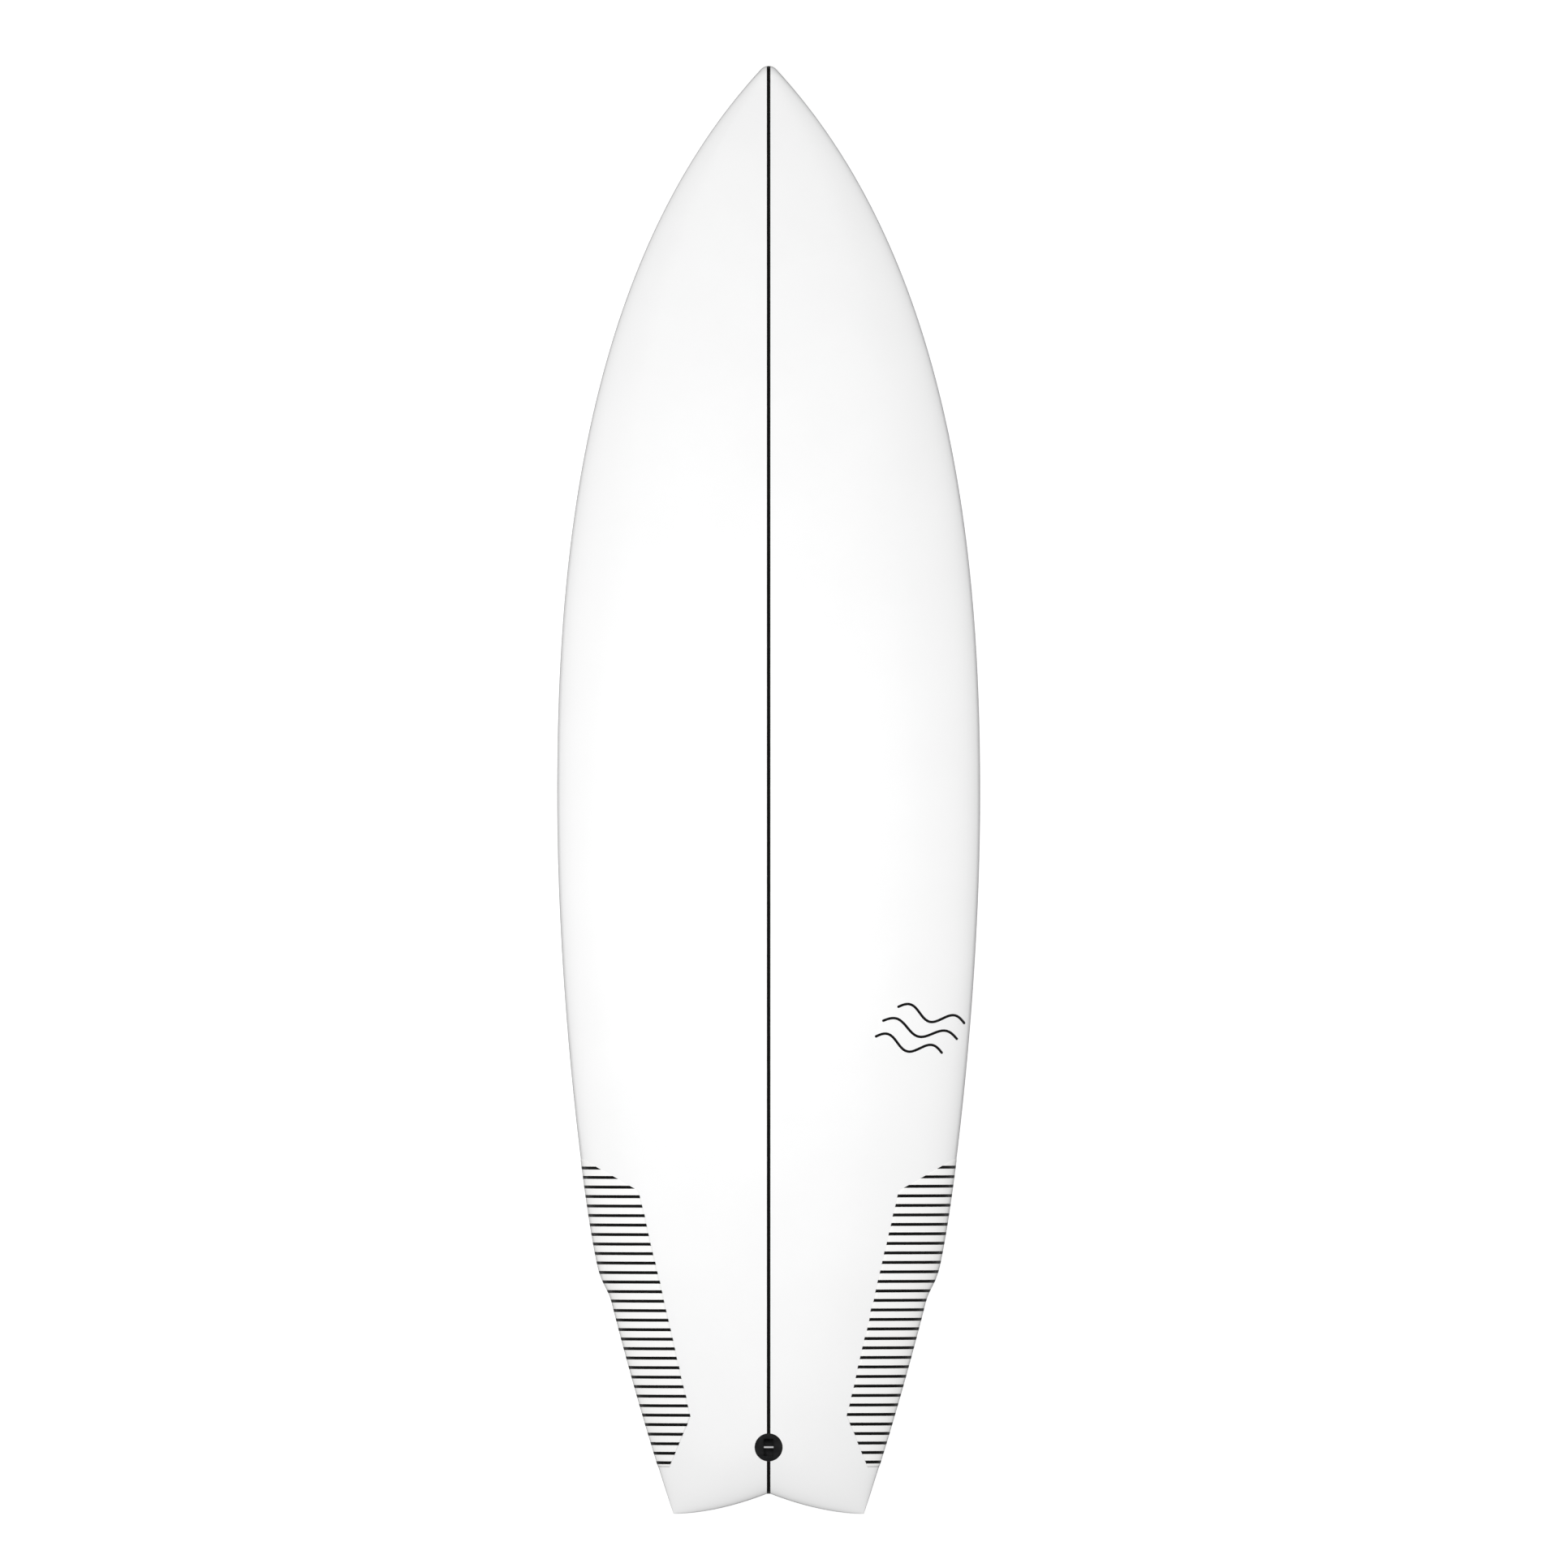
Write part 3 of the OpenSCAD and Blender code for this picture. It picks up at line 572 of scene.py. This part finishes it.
def fin_material():
    """Black glass-fibre composite: honeycomb core cells faint under a satin resin."""
    m = Surface("fin_composite", (0.012, 0.0125, 0.014), 0.3, Coat_Weight=0.5, Coat_Roughness=0.16)
    edge = m.range(m.cells(m.place((0.0, 1.0, 1.0)), 0.3, Randomness=0.12), 0.02, 0.1, 1, 0)
    streak = m.noise(m.place((1.0, 0.12, 1.6), (0.35, 0, 0)), 1.0, 5, 0.65)
    resin = m.blend(m.range(streak, 0.35, 0.7), (0.008, 0.0082, 0.009), (0.022, 0.023, 0.026))
    m.color(m.math("MULTIPLY", edge, 0.45), resin, (0.05, 0.052, 0.056))
    m.rough(m.range(m.noise(m.place(), 0.15, 4), 0.3, 0.7, 0.2, 0.34))
    m.bump((edge, 0.03, 0.35), (streak, 0.02, 0.3))
    return m.material


def floor_material():
    """Pale studio floor, lit mostly from within so that it stays even. From below it is clear."""
    m = Surface("studio_floor", (0.3, 0.3, 0.3), 0.8, Specular_IOR_Level=0.1)
    m.color(m.noise(m.place(), 0.0006, 3), (0.31, 0.31, 0.31), (0.29, 0.29, 0.29))
    m.shader.inputs["Emission Color"].default_value = (1, 1, 1, 1)
    m.shader.inputs["Emission Strength"].default_value = 0.92
    under = m.add("ShaderNodeNewGeometry").outputs["Backfacing"]
    clear = m.add("ShaderNodeBsdfTransparent").outputs[0]
    both = m.add("ShaderNodeMixShader", {0: under, 1: m.shader.outputs[0], 2: clear})
    m.put(m.tree.nodes["Material Output"].inputs["Surface"], both.outputs[0])
    return m.material


# ---------------------------------------------------------------------------------------
# Board skins
# ---------------------------------------------------------------------------------------
OUTER_SLOT, STRINGER_SLOT, INSIDE_SLOT = 0, 1, 2
FIRST_S, SECOND_S = 0.004, 0.02  # the hull's first rows of points, just off the nose tip
STRINGER_X = STRINGER_T / 2 + 0.2
# columns of the deck skin's lap under the rail, as shares of the half width
LAP_US = np.array([0.9995, 0.998, 0.995, 0.99, 0.983, 0.975, 0.965, 0.95, 0.935, LAP_U])
CUT_DEPTH = 4.0
PLUG_HOLE_R = 17.25
FLANGE_HALF_W, FLANGE_GAP, FLANGE_REAR, FLANGE_FRONT = 11.0, 0.15, -53.0, 65.0


def hull_rows():
    """s of each row of points, with close rows at the nose, the wing and the tail."""
    nose = NOSE_R * (1 - np.cos(np.linspace(0, math.pi / 2, 17)[1:]))
    nose[0] = SECOND_S
    parts = [
        np.concatenate([[FIRST_S], nose]),
        np.linspace(NOSE_R, 170, 28)[1:],
        np.linspace(170, WING_S, 162)[1:],
        np.linspace(WING_S, WING_END_S, 18)[1:],
        np.linspace(WING_END_S, BOARD_LEN - TAIL_ROUND, 42)[1:],
        BOARD_LEN - TAIL_ROUND * (1 - np.cos(np.linspace(math.pi / 2, 0.012, 14)[1:])),
    ]
    return np.concatenate(parts)


def side_shares(steps):
    """Shares of the way from the stringer to the rail, with close steps at the rail."""
    return np.sin(np.linspace(0, math.pi / 2, steps + 1)[1:])


def centred(w, shares, end=1.0):
    """Column places from rail to rail, with two columns at the stringer's edges."""
    near = min(STRINGER_X, 0.4 * w)
    right = mix(near, w * end, shares)
    return np.concatenate([-right[::-1], [-near, near], right])


def surface_grid(rows, columns, deck, inset):
    """Points of one side of the hull. columns(w) gives the x of each column at half width w."""
    start = INSET_NOSE * inset
    row_s = start + rows * (1 - (start + inset) / BOARD_LEN)
    xs = np.array([columns(w) for w in half_width(row_s) - inset])
    bend = smooth(BOARD_LEN - 240, BOARD_LEN - TAIL_ROUND, row_s)[:, None]
    s = row_s[:, None] - bend * notch(xs)
    return np.stack([xs, BOARD_LEN / 2 - s, hull_z(s, xs, deck, inset)], -1)


def hull_shading(obj):
    """Gives the hull's outer faces their exact normals, so cuts and seams don't show in the gloss."""
    mesh = obj.data
    slots = read_values(mesh.polygons, "material_index")
    sizes = read_values(mesh.polygons, "loop_total")
    outer = np.repeat(slots != INSIDE_SLOT, sizes)
    p = to_board(read_values(mesh.vertices, "co", np.float32, 3).astype(float))
    x = p[:, 0]
    s = np.clip(BOARD_LEN / 2 - p[:, 1], FIRST_S, BOARD_LEN - notch(x) - 0.001)
    w = half_width(s)
    exact = hull_normal(s, np.clip(x, -w, w), p[:, 2] >= rail_z(s)) @ TURN.T
    normals = read_values(mesh.corner_normals, "vector", np.float32, 3)
    normals[outer] = exact[read_values(mesh.loops, "vertex_index")[outer]]
    mesh.normals_split_custom_set([tuple(n) for n in normals])


def skin_sheet(name, outer, inner, middle, materials):
    """A skin between two grids. The middle column of faces, over the stringer, gets its look."""
    rows, cols = outer.shape[:2]
    slots = np.full((rows - 1, cols - 1), OUTER_SLOT)
    slots[:, middle] = STRINGER_SLOT
    return sheet(name, outer, inner, materials, slots.ravel())


def deck_skin(materials):
    rows, shares = hull_rows(), side_shares(44)

    def grid(inset):
        left = surface_grid(rows, lambda w: -w * LAP_US[::-1], False, inset)
        top = surface_grid(rows, lambda w: centred(w, shares), True, inset)
        right = surface_grid(rows, lambda w: w * LAP_US, False, inset)
        return np.concatenate([left, top, right], 1)

    middle = len(LAP_US) + len(shares)
    obj = skin_sheet("deck_laminate", grid(0.0), grid(SKIN_T), middle, materials)
    circle = np.linspace(0, 2 * math.pi, 97)[:-1]
    hole = [(PLUG_HOLE_R * math.cos(a), PLUG_HOLE_R * math.sin(a)) for a in circle]
    boolean(obj, prism("plug_hole", hole, -CUT_DEPTH, CUT_DEPTH, plug_place()))
    hull_shading(obj)
    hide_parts("deck_skin")
    return obj


def bottom_skin(materials):
    rows, shares = hull_rows(), side_shares(24)

    def grid(inset):
        return surface_grid(rows, lambda w: -centred(w, shares, LAP_U), False, inset)

    obj = skin_sheet("bottom_laminate", grid(0.0), grid(SKIN_T), len(shares), materials)
    hole = track(FLANGE_HALF_W + FLANGE_GAP, FLANGE_REAR, FLANGE_FRONT)
    for side in SIDES:
        boolean(obj, prism(f"box_hole_{side}", hole, -CUT_DEPTH, CUT_DEPTH, box_place(side)))
    hull_shading(obj)
    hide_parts("bottom_skin")
    return obj


# ---------------------------------------------------------------------------------------
# Tail rail patches with their carbon tows
# ---------------------------------------------------------------------------------------
PATCH_S = BOARD_LEN - np.array([437, 397, 120, 57.4])
PATCH_X = np.array([float(half_width(PATCH_S[0])) - 1, 159.5, 96, 121.8])
PATCH_LOW_U, PATCH_ROWS, PATCH_FADE, PATCH_MIN_W = 0.965, 150, 2.0, 0.3
PATCH_BASE, PATCH_EDGE, PATCH_RISE = -0.15, 0.05, 0.4
TOW_COUNT, TOW_PITCH, TOW_W = 32, 11.677, 3.8
FIRST_TOW_S = {-1: BOARD_LEN - 424.9, 1: BOARD_LEN - 425.8}
TOW_BASE, TOW_EDGE, TOW_CROWN = 0.2, 0.47, 0.18
TOW_WOBBLE, TOW_RAGGED, TOW_RAGGED_LEN, TOW_END_LEN = 0.05, 0.25, 6, 1.0


def wrap_columns(s, deck_steps, under_steps):
    """x and deck flag of points from the patch's inner edge over the rail to its edge underneath."""
    w = half_width(s)[:, None]
    x_in = np.minimum(np.interp(s, PATCH_S, PATCH_X), half_width(s) - PATCH_MIN_W)[:, None]
    over = mix(x_in, w, np.sin(np.linspace(0, math.pi / 2, deck_steps))[None, :])
    low = 1 - (1 - PATCH_LOW_U) * np.linspace(0, 1, under_steps + 1)[1:] ** 2
    xs = np.concatenate([over, w * low[None, :]], 1)
    deck = np.concatenate([np.ones(deck_steps, bool), np.zeros(under_steps, bool)])
    return xs, np.broadcast_to(deck, xs.shape)


def rail_sheet(side, name, s, xs, deck, base, top, material):
    """A sheet over the right rail, or its mirror image over the left one, between two lifts."""
    s = np.broadcast_to(s[:, None], xs.shape)
    outer, inner = on_hull(s, xs, deck, top), on_hull(s, xs, deck, base)
    if side < 0:
        outer, inner = (g[:, ::-1] * [-1, 1, 1] for g in (outer, inner))
    return sheet(name, outer, inner, [material])


def rail_patch(side, name, material):
    s = np.linspace(PATCH_S[0] + 0.8, PATCH_S[-1], PATCH_ROWS)
    xs, deck = wrap_columns(s, 40, 9)
    k = PATCH_ROWS // 2
    reach = np.concatenate([[0], np.cumsum(np.hypot(*np.diff([xs[k], hull_z(s[k], xs[k], deck[k])])))])
    from_side = np.minimum(reach, reach[-1] - reach)[None, :]
    from_end = np.minimum(s - s[0], s[-1] - s)[:, None]
    inside = np.minimum(smooth(0, PATCH_FADE, from_side), smooth(0, PATCH_FADE, from_end))
    return rail_sheet(side, name, s, xs, deck, PATCH_BASE, PATCH_EDGE + PATCH_RISE * inside, material)


def carbon_tows(side, name, material):
    rng = np.random.default_rng(7 + side)
    across = np.linspace(-1, 1, 7)
    crown = np.sqrt(np.maximum(0, 1 - across ** 2))[:, None]
    strips = []
    for k in range(TOW_COUNT):
        middle = FIRST_TOW_S[side] + k * TOW_PITCH + rng.normal(0, TOW_WOBBLE)
        s = middle + across * (TOW_W / 2)
        xs, deck = wrap_columns(s, 34, 8)
        at_end = 1 - smooth(0, TOW_RAGGED_LEN, xs - xs[:, :1])
        xs = xs + np.where(deck, at_end * rng.normal(0, TOW_RAGGED), 0)
        from_end = np.where(deck, np.abs(xs - xs[:, :1]), np.inf)
        top = TOW_EDGE + TOW_CROWN * crown * mix(0.25, 1.0, smooth(0, TOW_END_LEN, from_end))
        strips.append(rail_sheet(side, "tow", s, xs, deck, TOW_BASE, top, material))
    return join(name, strips)


# ---------------------------------------------------------------------------------------
# Printed wave emblem: three plain wavy lines near the right rail
# ---------------------------------------------------------------------------------------
EMBLEM_X, EMBLEM_S, EMBLEM_TILT = 186, 1184, math.radians(-14)
WAVE_LEN, WAVE_HEIGHT, WAVE_GAP, WAVE_COUNT = 96, 7.5, 21, 1.5
ROW_SHIFT, ROW_SHORTER = 9.0, 10
LINE_W, LINE_END = 3.2, 1.1
INK_BASE, INK_TOP = -0.05, 0.06


def emblem_line(row, material):
    t = np.linspace(0, 1, 120)
    length = WAVE_LEN - ROW_SHORTER * abs(row)
    u = (t - 0.5) * length + ROW_SHIFT * row
    v = row * WAVE_GAP + WAVE_HEIGHT * np.sin(2 * math.pi * WAVE_COUNT * t)
    slope = np.gradient(v, u)
    off = np.stack([-slope, np.ones_like(slope)]) / np.hypot(1, slope)
    past = (np.abs(t - 0.5) * length - (length / 2 - LINE_END)).clip(0) / LINE_END
    half = LINE_W / 2 * np.sqrt(np.clip(1 - past ** 2, 0.002, 1))
    a, b = (np.array([c + o * k * half for k in (-1, 0, 1)]) for c, o in zip((u, v), off))
    x = EMBLEM_X + a * math.cos(EMBLEM_TILT) - b * math.sin(EMBLEM_TILT)
    s = EMBLEM_S - a * math.sin(EMBLEM_TILT) - b * math.cos(EMBLEM_TILT)
    outer, inner = on_hull(s, x, True, INK_TOP), on_hull(s, x, True, INK_BASE)
    return sheet("line", outer[:, ::-1], inner[:, ::-1], [material])


def emblem(material):
    return join("wave_emblem", [emblem_line(row, material) for row in (-1, 0, 1)])


# ---------------------------------------------------------------------------------------
# Fins. A blade's outline is given back from the front of its base and out from the board.
# ---------------------------------------------------------------------------------------
FIN_BASE, FIN_DEPTH, FIN_T, FIN_CANT = 111.0, 115.0, 6.3, math.radians(6.5)
FIN_TIP = (FIN_BASE + 18.5, FIN_DEPTH - 2.5)
TIP_T_SHARE = 0.24
THICKEST, REAR_THINNING, REAR_POWER = 0.33, 0.92, 1.7
TAB_BEVEL = 0.5


def fin_edges():
    """Points of the leading and the trailing edge, and each row's share of the way round the tip."""
    base, top = TAB_TOP / 2, FIN_DEPTH
    lead_end, trail_end = (FIN_BASE + 11, top), (FIN_BASE + 20, top - 9)
    leading = [
        [(0, base), (26, 50), (72, top), lead_end],
        [lead_end, (FIN_BASE + 15, top), (FIN_BASE + 17, top - 1), FIN_TIP],
    ]
    trailing = [
        [(FIN_BASE, base), (FIN_BASE - 9, 36), (FIN_BASE + 4, 84), trail_end],
        [trail_end, (FIN_BASE + 21, top - 6), (FIN_BASE + 20, top - 4), FIN_TIP],
    ]
    up = np.linspace(0, 1, 44)
    round_tip = 1 - (1 - np.linspace(0, 1, 15)[1:-1]) ** 1.6
    round_tip = np.concatenate([round_tip, [0.992]])
    edges = [np.concatenate([bezier(c[0], up), bezier(c[1], round_tip)]) for c in (leading, trailing)]
    return *edges, np.concatenate([np.zeros_like(up), round_tip])


def foil(c):
    """Thickness share at the share c of the chord behind the leading edge."""
    front = np.sqrt(np.maximum(0, 1 - (1 - np.minimum(c, THICKEST) / THICKEST) ** 2))
    rear = 1 - REAR_THINNING * (np.maximum(c - THICKEST, 0) / (1 - THICKEST)) ** REAR_POWER
    return np.where(c < THICKEST, front, rear)


def fin_blade(side, place, material):
    """The blade as rings from base to tip. A side fin is flat towards the board's middle."""
    le, te, tip = fin_edges()
    c = np.concatenate([np.linspace(1, 0.1, 22), 0.1 * np.linspace(1, 0, 13)[1:] ** 2])
    chord = le[:, None, :] + (te - le)[:, None, :] * c[None, :, None]
    t = (FIN_T * mix(1, TIP_T_SHARE, le[:, 1] / FIN_DEPTH) * dome(tip, 2))[:, None] * foil(c)[None, :]
    sign = SIDES[side]
    flat = sign * FIN_T / 2

    def face(x):
        return np.stack([x, FIN_BASE / 2 - chord[..., 0], chord[..., 1]], -1)

    one, other = (-t / 2, t / 2) if sign == 0 else (flat - sign * t, np.full_like(t, flat))
    rings = np.concatenate([face(one), face(other)[:, -2::-1]], 1)
    if sign < 0:
        rings = rings[:, ::-1]
    a = -sign * FIN_CANT
    rings = rings @ np.array([[math.cos(a), 0, math.sin(a)], [0, 1, 0], [-math.sin(a), 0, math.cos(a)]]).T
    rows, m = rings.shape[:2]
    points = [place @ Vector(p) for p in rings.reshape(-1, 3)]
    faces = []
    for i in range(rows - 1):
        for j in range(m):
            k = (j + 1) % m
            faces.append((i * m + j, i * m + k, (i + 1) * m + k, (i + 1) * m + j))
    faces.append(tuple(reversed(range(m))))
    faces.append(tuple(range((rows - 1) * m, rows * m)))
    return new_object("blade", points, faces, [material])


def fin(side, material):
    place = box_place(side)
    obj = fin_blade(side, place, material)
    r, half = TAB_T / 2, TAB_LEN / 2
    outline = [(-r, -half), (r, -half), (r, half), (-r, half)]
    tab = prism("tab", outline, -TAB_DEPTH, TAB_TOP, place, [material])
    bake_modifier(tab, soft_edges(tab, TAB_BEVEL))
    boolean(obj, tab, "UNION")
    clean(obj)
    obj.name = f"fin_{side}_blade"
    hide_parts(f"fin_{side}")
    return obj


# ---------------------------------------------------------------------------------------
# The board
# ---------------------------------------------------------------------------------------
EDGE_W, SCREW_EDGE_W = 0.3, 0.15

laminate = laminate_material("white_laminate", (0.80, 0.80, 0.80), (0.785, 0.785, 0.785))
inside = laminate_material("laminate_inside", (0.72, 0.73, 0.70), (0.69, 0.70, 0.67))
stringer_line = stringer_material()
skins = [laminate, stringer_line, inside]
carbon, cloth, ink = tow_material(), patch_material(), ink_material()
plug_plastic = moulded_material("plug_nylon", (0.007, 0.007, 0.0074), (0.018, 0.018, 0.0185), 0.42)
box_plastic = moulded_material("box_nylon", (0.012, 0.012, 0.0125), (0.022, 0.022, 0.0225), 0.5)
steel = steel_material()
core_foam = foam_material("core_foam", (0.9, 0.9, 0.88), (0.78, 0.78, 0.76), 2.5)
insert_foam = foam_material("insert_foam", (0.78, 0.7, 0.46), (0.66, 0.58, 0.36), 0.5)
composite = fin_material()

made = [
    (deck_skin(skins), "board", "laminate"),
    (bottom_skin(skins), "board", "laminate"),
    (emblem(ink), "board", None),
]
for side in ("left", "right"):
    patch = rail_patch(SIDES[side], f"rail_patch_{side}_cloth", cloth)
    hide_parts(f"rail_patch_{side}")
    tows = carbon_tows(SIDES[side], f"carbon_tows_{side}_strips", carbon)
    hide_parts(f"carbon_tows_{side}")
    made += [(patch, "board", "patch_cloth"), (tows, "board", "carbon")]
for side in SIDES:
    made.append((fin(side, composite), f"fin_{side}", "fin_composite"))
for piece, body, slot in made:
    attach(piece, body)

cad_materials = {
    "core_left": core_foam, "core_right": core_foam, "stringer": stringer_line,
    "leash_plug_cup": plug_plastic, "leash_plug_bar": steel, "leash_plug_block": insert_foam,
}
edge_widths = {"leash_plug_cup": EDGE_W}
for side in SIDES:
    cad_materials[f"fin_box_{side}"] = box_plastic
    cad_materials[f"fin_block_{side}"] = insert_foam
    cad_materials[f"fin_screw_{side}"] = steel
    edge_widths[f"fin_box_{side}"] = EDGE_W
    edge_widths[f"fin_screw_{side}"] = SCREW_EDGE_W
for name, material in cad_materials.items():
    node = frame["nodes"][name]
    node.data.materials.clear()
    node.data.materials.append(material)
    node.modifiers.new("weld", "WELD").merge_threshold = CLEAN_DIST
    if name in edge_widths:
        soft_edges(node, edge_widths[name]).harden_normals = True

# ---------------------------------------------------------------------------------------
# Stage: camera square to the deck, nose up; pale floor; a soft lamp nearly overhead, a little
# to the left and to the tail, and a lamp below that stands for the light the floor throws back
# ---------------------------------------------------------------------------------------
BOARD_X, BOARD_Y, BOARD_UP = (Vector(TURN[:, k]) for k in range(3))
BOARD_MIDDLE = Vector(to_row([0, 0, 60]))
VIEW_SIZE, OFF_CENTRE = 1.9278, (0.0189, 0.0083)
LENS, SENSOR, CLIP_END = 500.0, 36.0, 100
FLOOR_HALF = 15.0
TOP_GLOW, HORIZON_GLOW, GLOW_POWER = 0.02, 1.0, 3
# direction from the board's middle in the board's frame, distance and size in m, power in W
LAMPS = {
    "key": ((-0.191, -0.083, 2.2), 2.21, (1.4, 1.4), 68),
    "bounce": ((0, 0, -1), 2.2, (1.6, 2.6), 50),
}


def add_camera():
    data = bpy.data.cameras.new("camera")
    data.lens, data.sensor_width, data.clip_end = LENS, SENSOR, CLIP_END
    camera = bpy.data.objects.new("camera", data)
    bpy.context.scene.collection.objects.link(camera)
    aim = BOARD_MIDDLE + BOARD_X * OFF_CENTRE[0] + BOARD_Y * OFF_CENTRE[1]
    camera.location = aim + BOARD_UP * (VIEW_SIZE * LENS / SENSOR)
    camera.rotation_mode = "QUATERNION"
    camera.rotation_quaternion = Matrix((BOARD_X, BOARD_Y, BOARD_UP)).transposed().to_quaternion()
    bpy.context.scene.camera = camera


def add_lamp(name, direction, distance, size, power):
    """A soft box that is not seen in the gloss."""
    data = bpy.data.lights.new(name, "AREA")
    data.shape = "RECTANGLE"
    data.size, data.size_y = size
    data.energy = power
    lamp = bpy.data.objects.new(name, data)
    bpy.context.scene.collection.objects.link(lamp)
    d = (BOARD_X * direction[0] + BOARD_Y * direction[1] + BOARD_UP * direction[2]).normalized()
    lamp.location = BOARD_MIDDLE + d * distance
    lamp.rotation_mode = "QUATERNION"
    lamp.rotation_quaternion = d.to_track_quat("Z", "Y")
    lamp.visible_camera = False
    lamp.visible_glossy = False


def add_floor():
    """The floor. Its glow lights only itself, so that the board keeps its shading."""
    h = FLOOR_HALF
    corners = [(-h, -h, 0), (h, -h, 0), (h, h, 0), (-h, h, 0)]
    floor = new_object("floor", corners, [(0, 1, 2, 3)], [floor_material()], smooth_shade=False)
    lit = bpy.data.collections.new("lit_by_floor")
    lit.objects.link(floor)
    floor.light_linking.receiver_collection = lit
    floor.visible_shadow = False


def add_world():
    """Soft studio surroundings: dim overhead, bright as the floor at the horizon, black below it."""
    world = bpy.data.worlds.new("studio")
    world.use_nodes = True
    g = Graph(world.node_tree)
    at = g.add("ShaderNodeTexCoord").outputs["Generated"]
    z = g.add("ShaderNodeSeparateXYZ", {0: at}).outputs["Z"]
    near_horizon = g.math("POWER", g.range(z, 0, 1, 1, 0), GLOW_POWER)
    glow = g.range(near_horizon, 0, 1, TOP_GLOW, HORIZON_GLOW)
    background = g.tree.nodes["Background"]
    background.inputs["Color"].default_value = (1, 1, 1, 1)
    g.put(background.inputs["Strength"], g.math("MULTIPLY", glow, g.math("GREATER_THAN", z, 0)))
    bpy.context.scene.world = world


add_camera()
add_floor()
add_world()
for name, lamp in LAMPS.items():
    add_lamp(name, *lamp)
bpy.context.scene.view_settings.view_transform = "Standard"
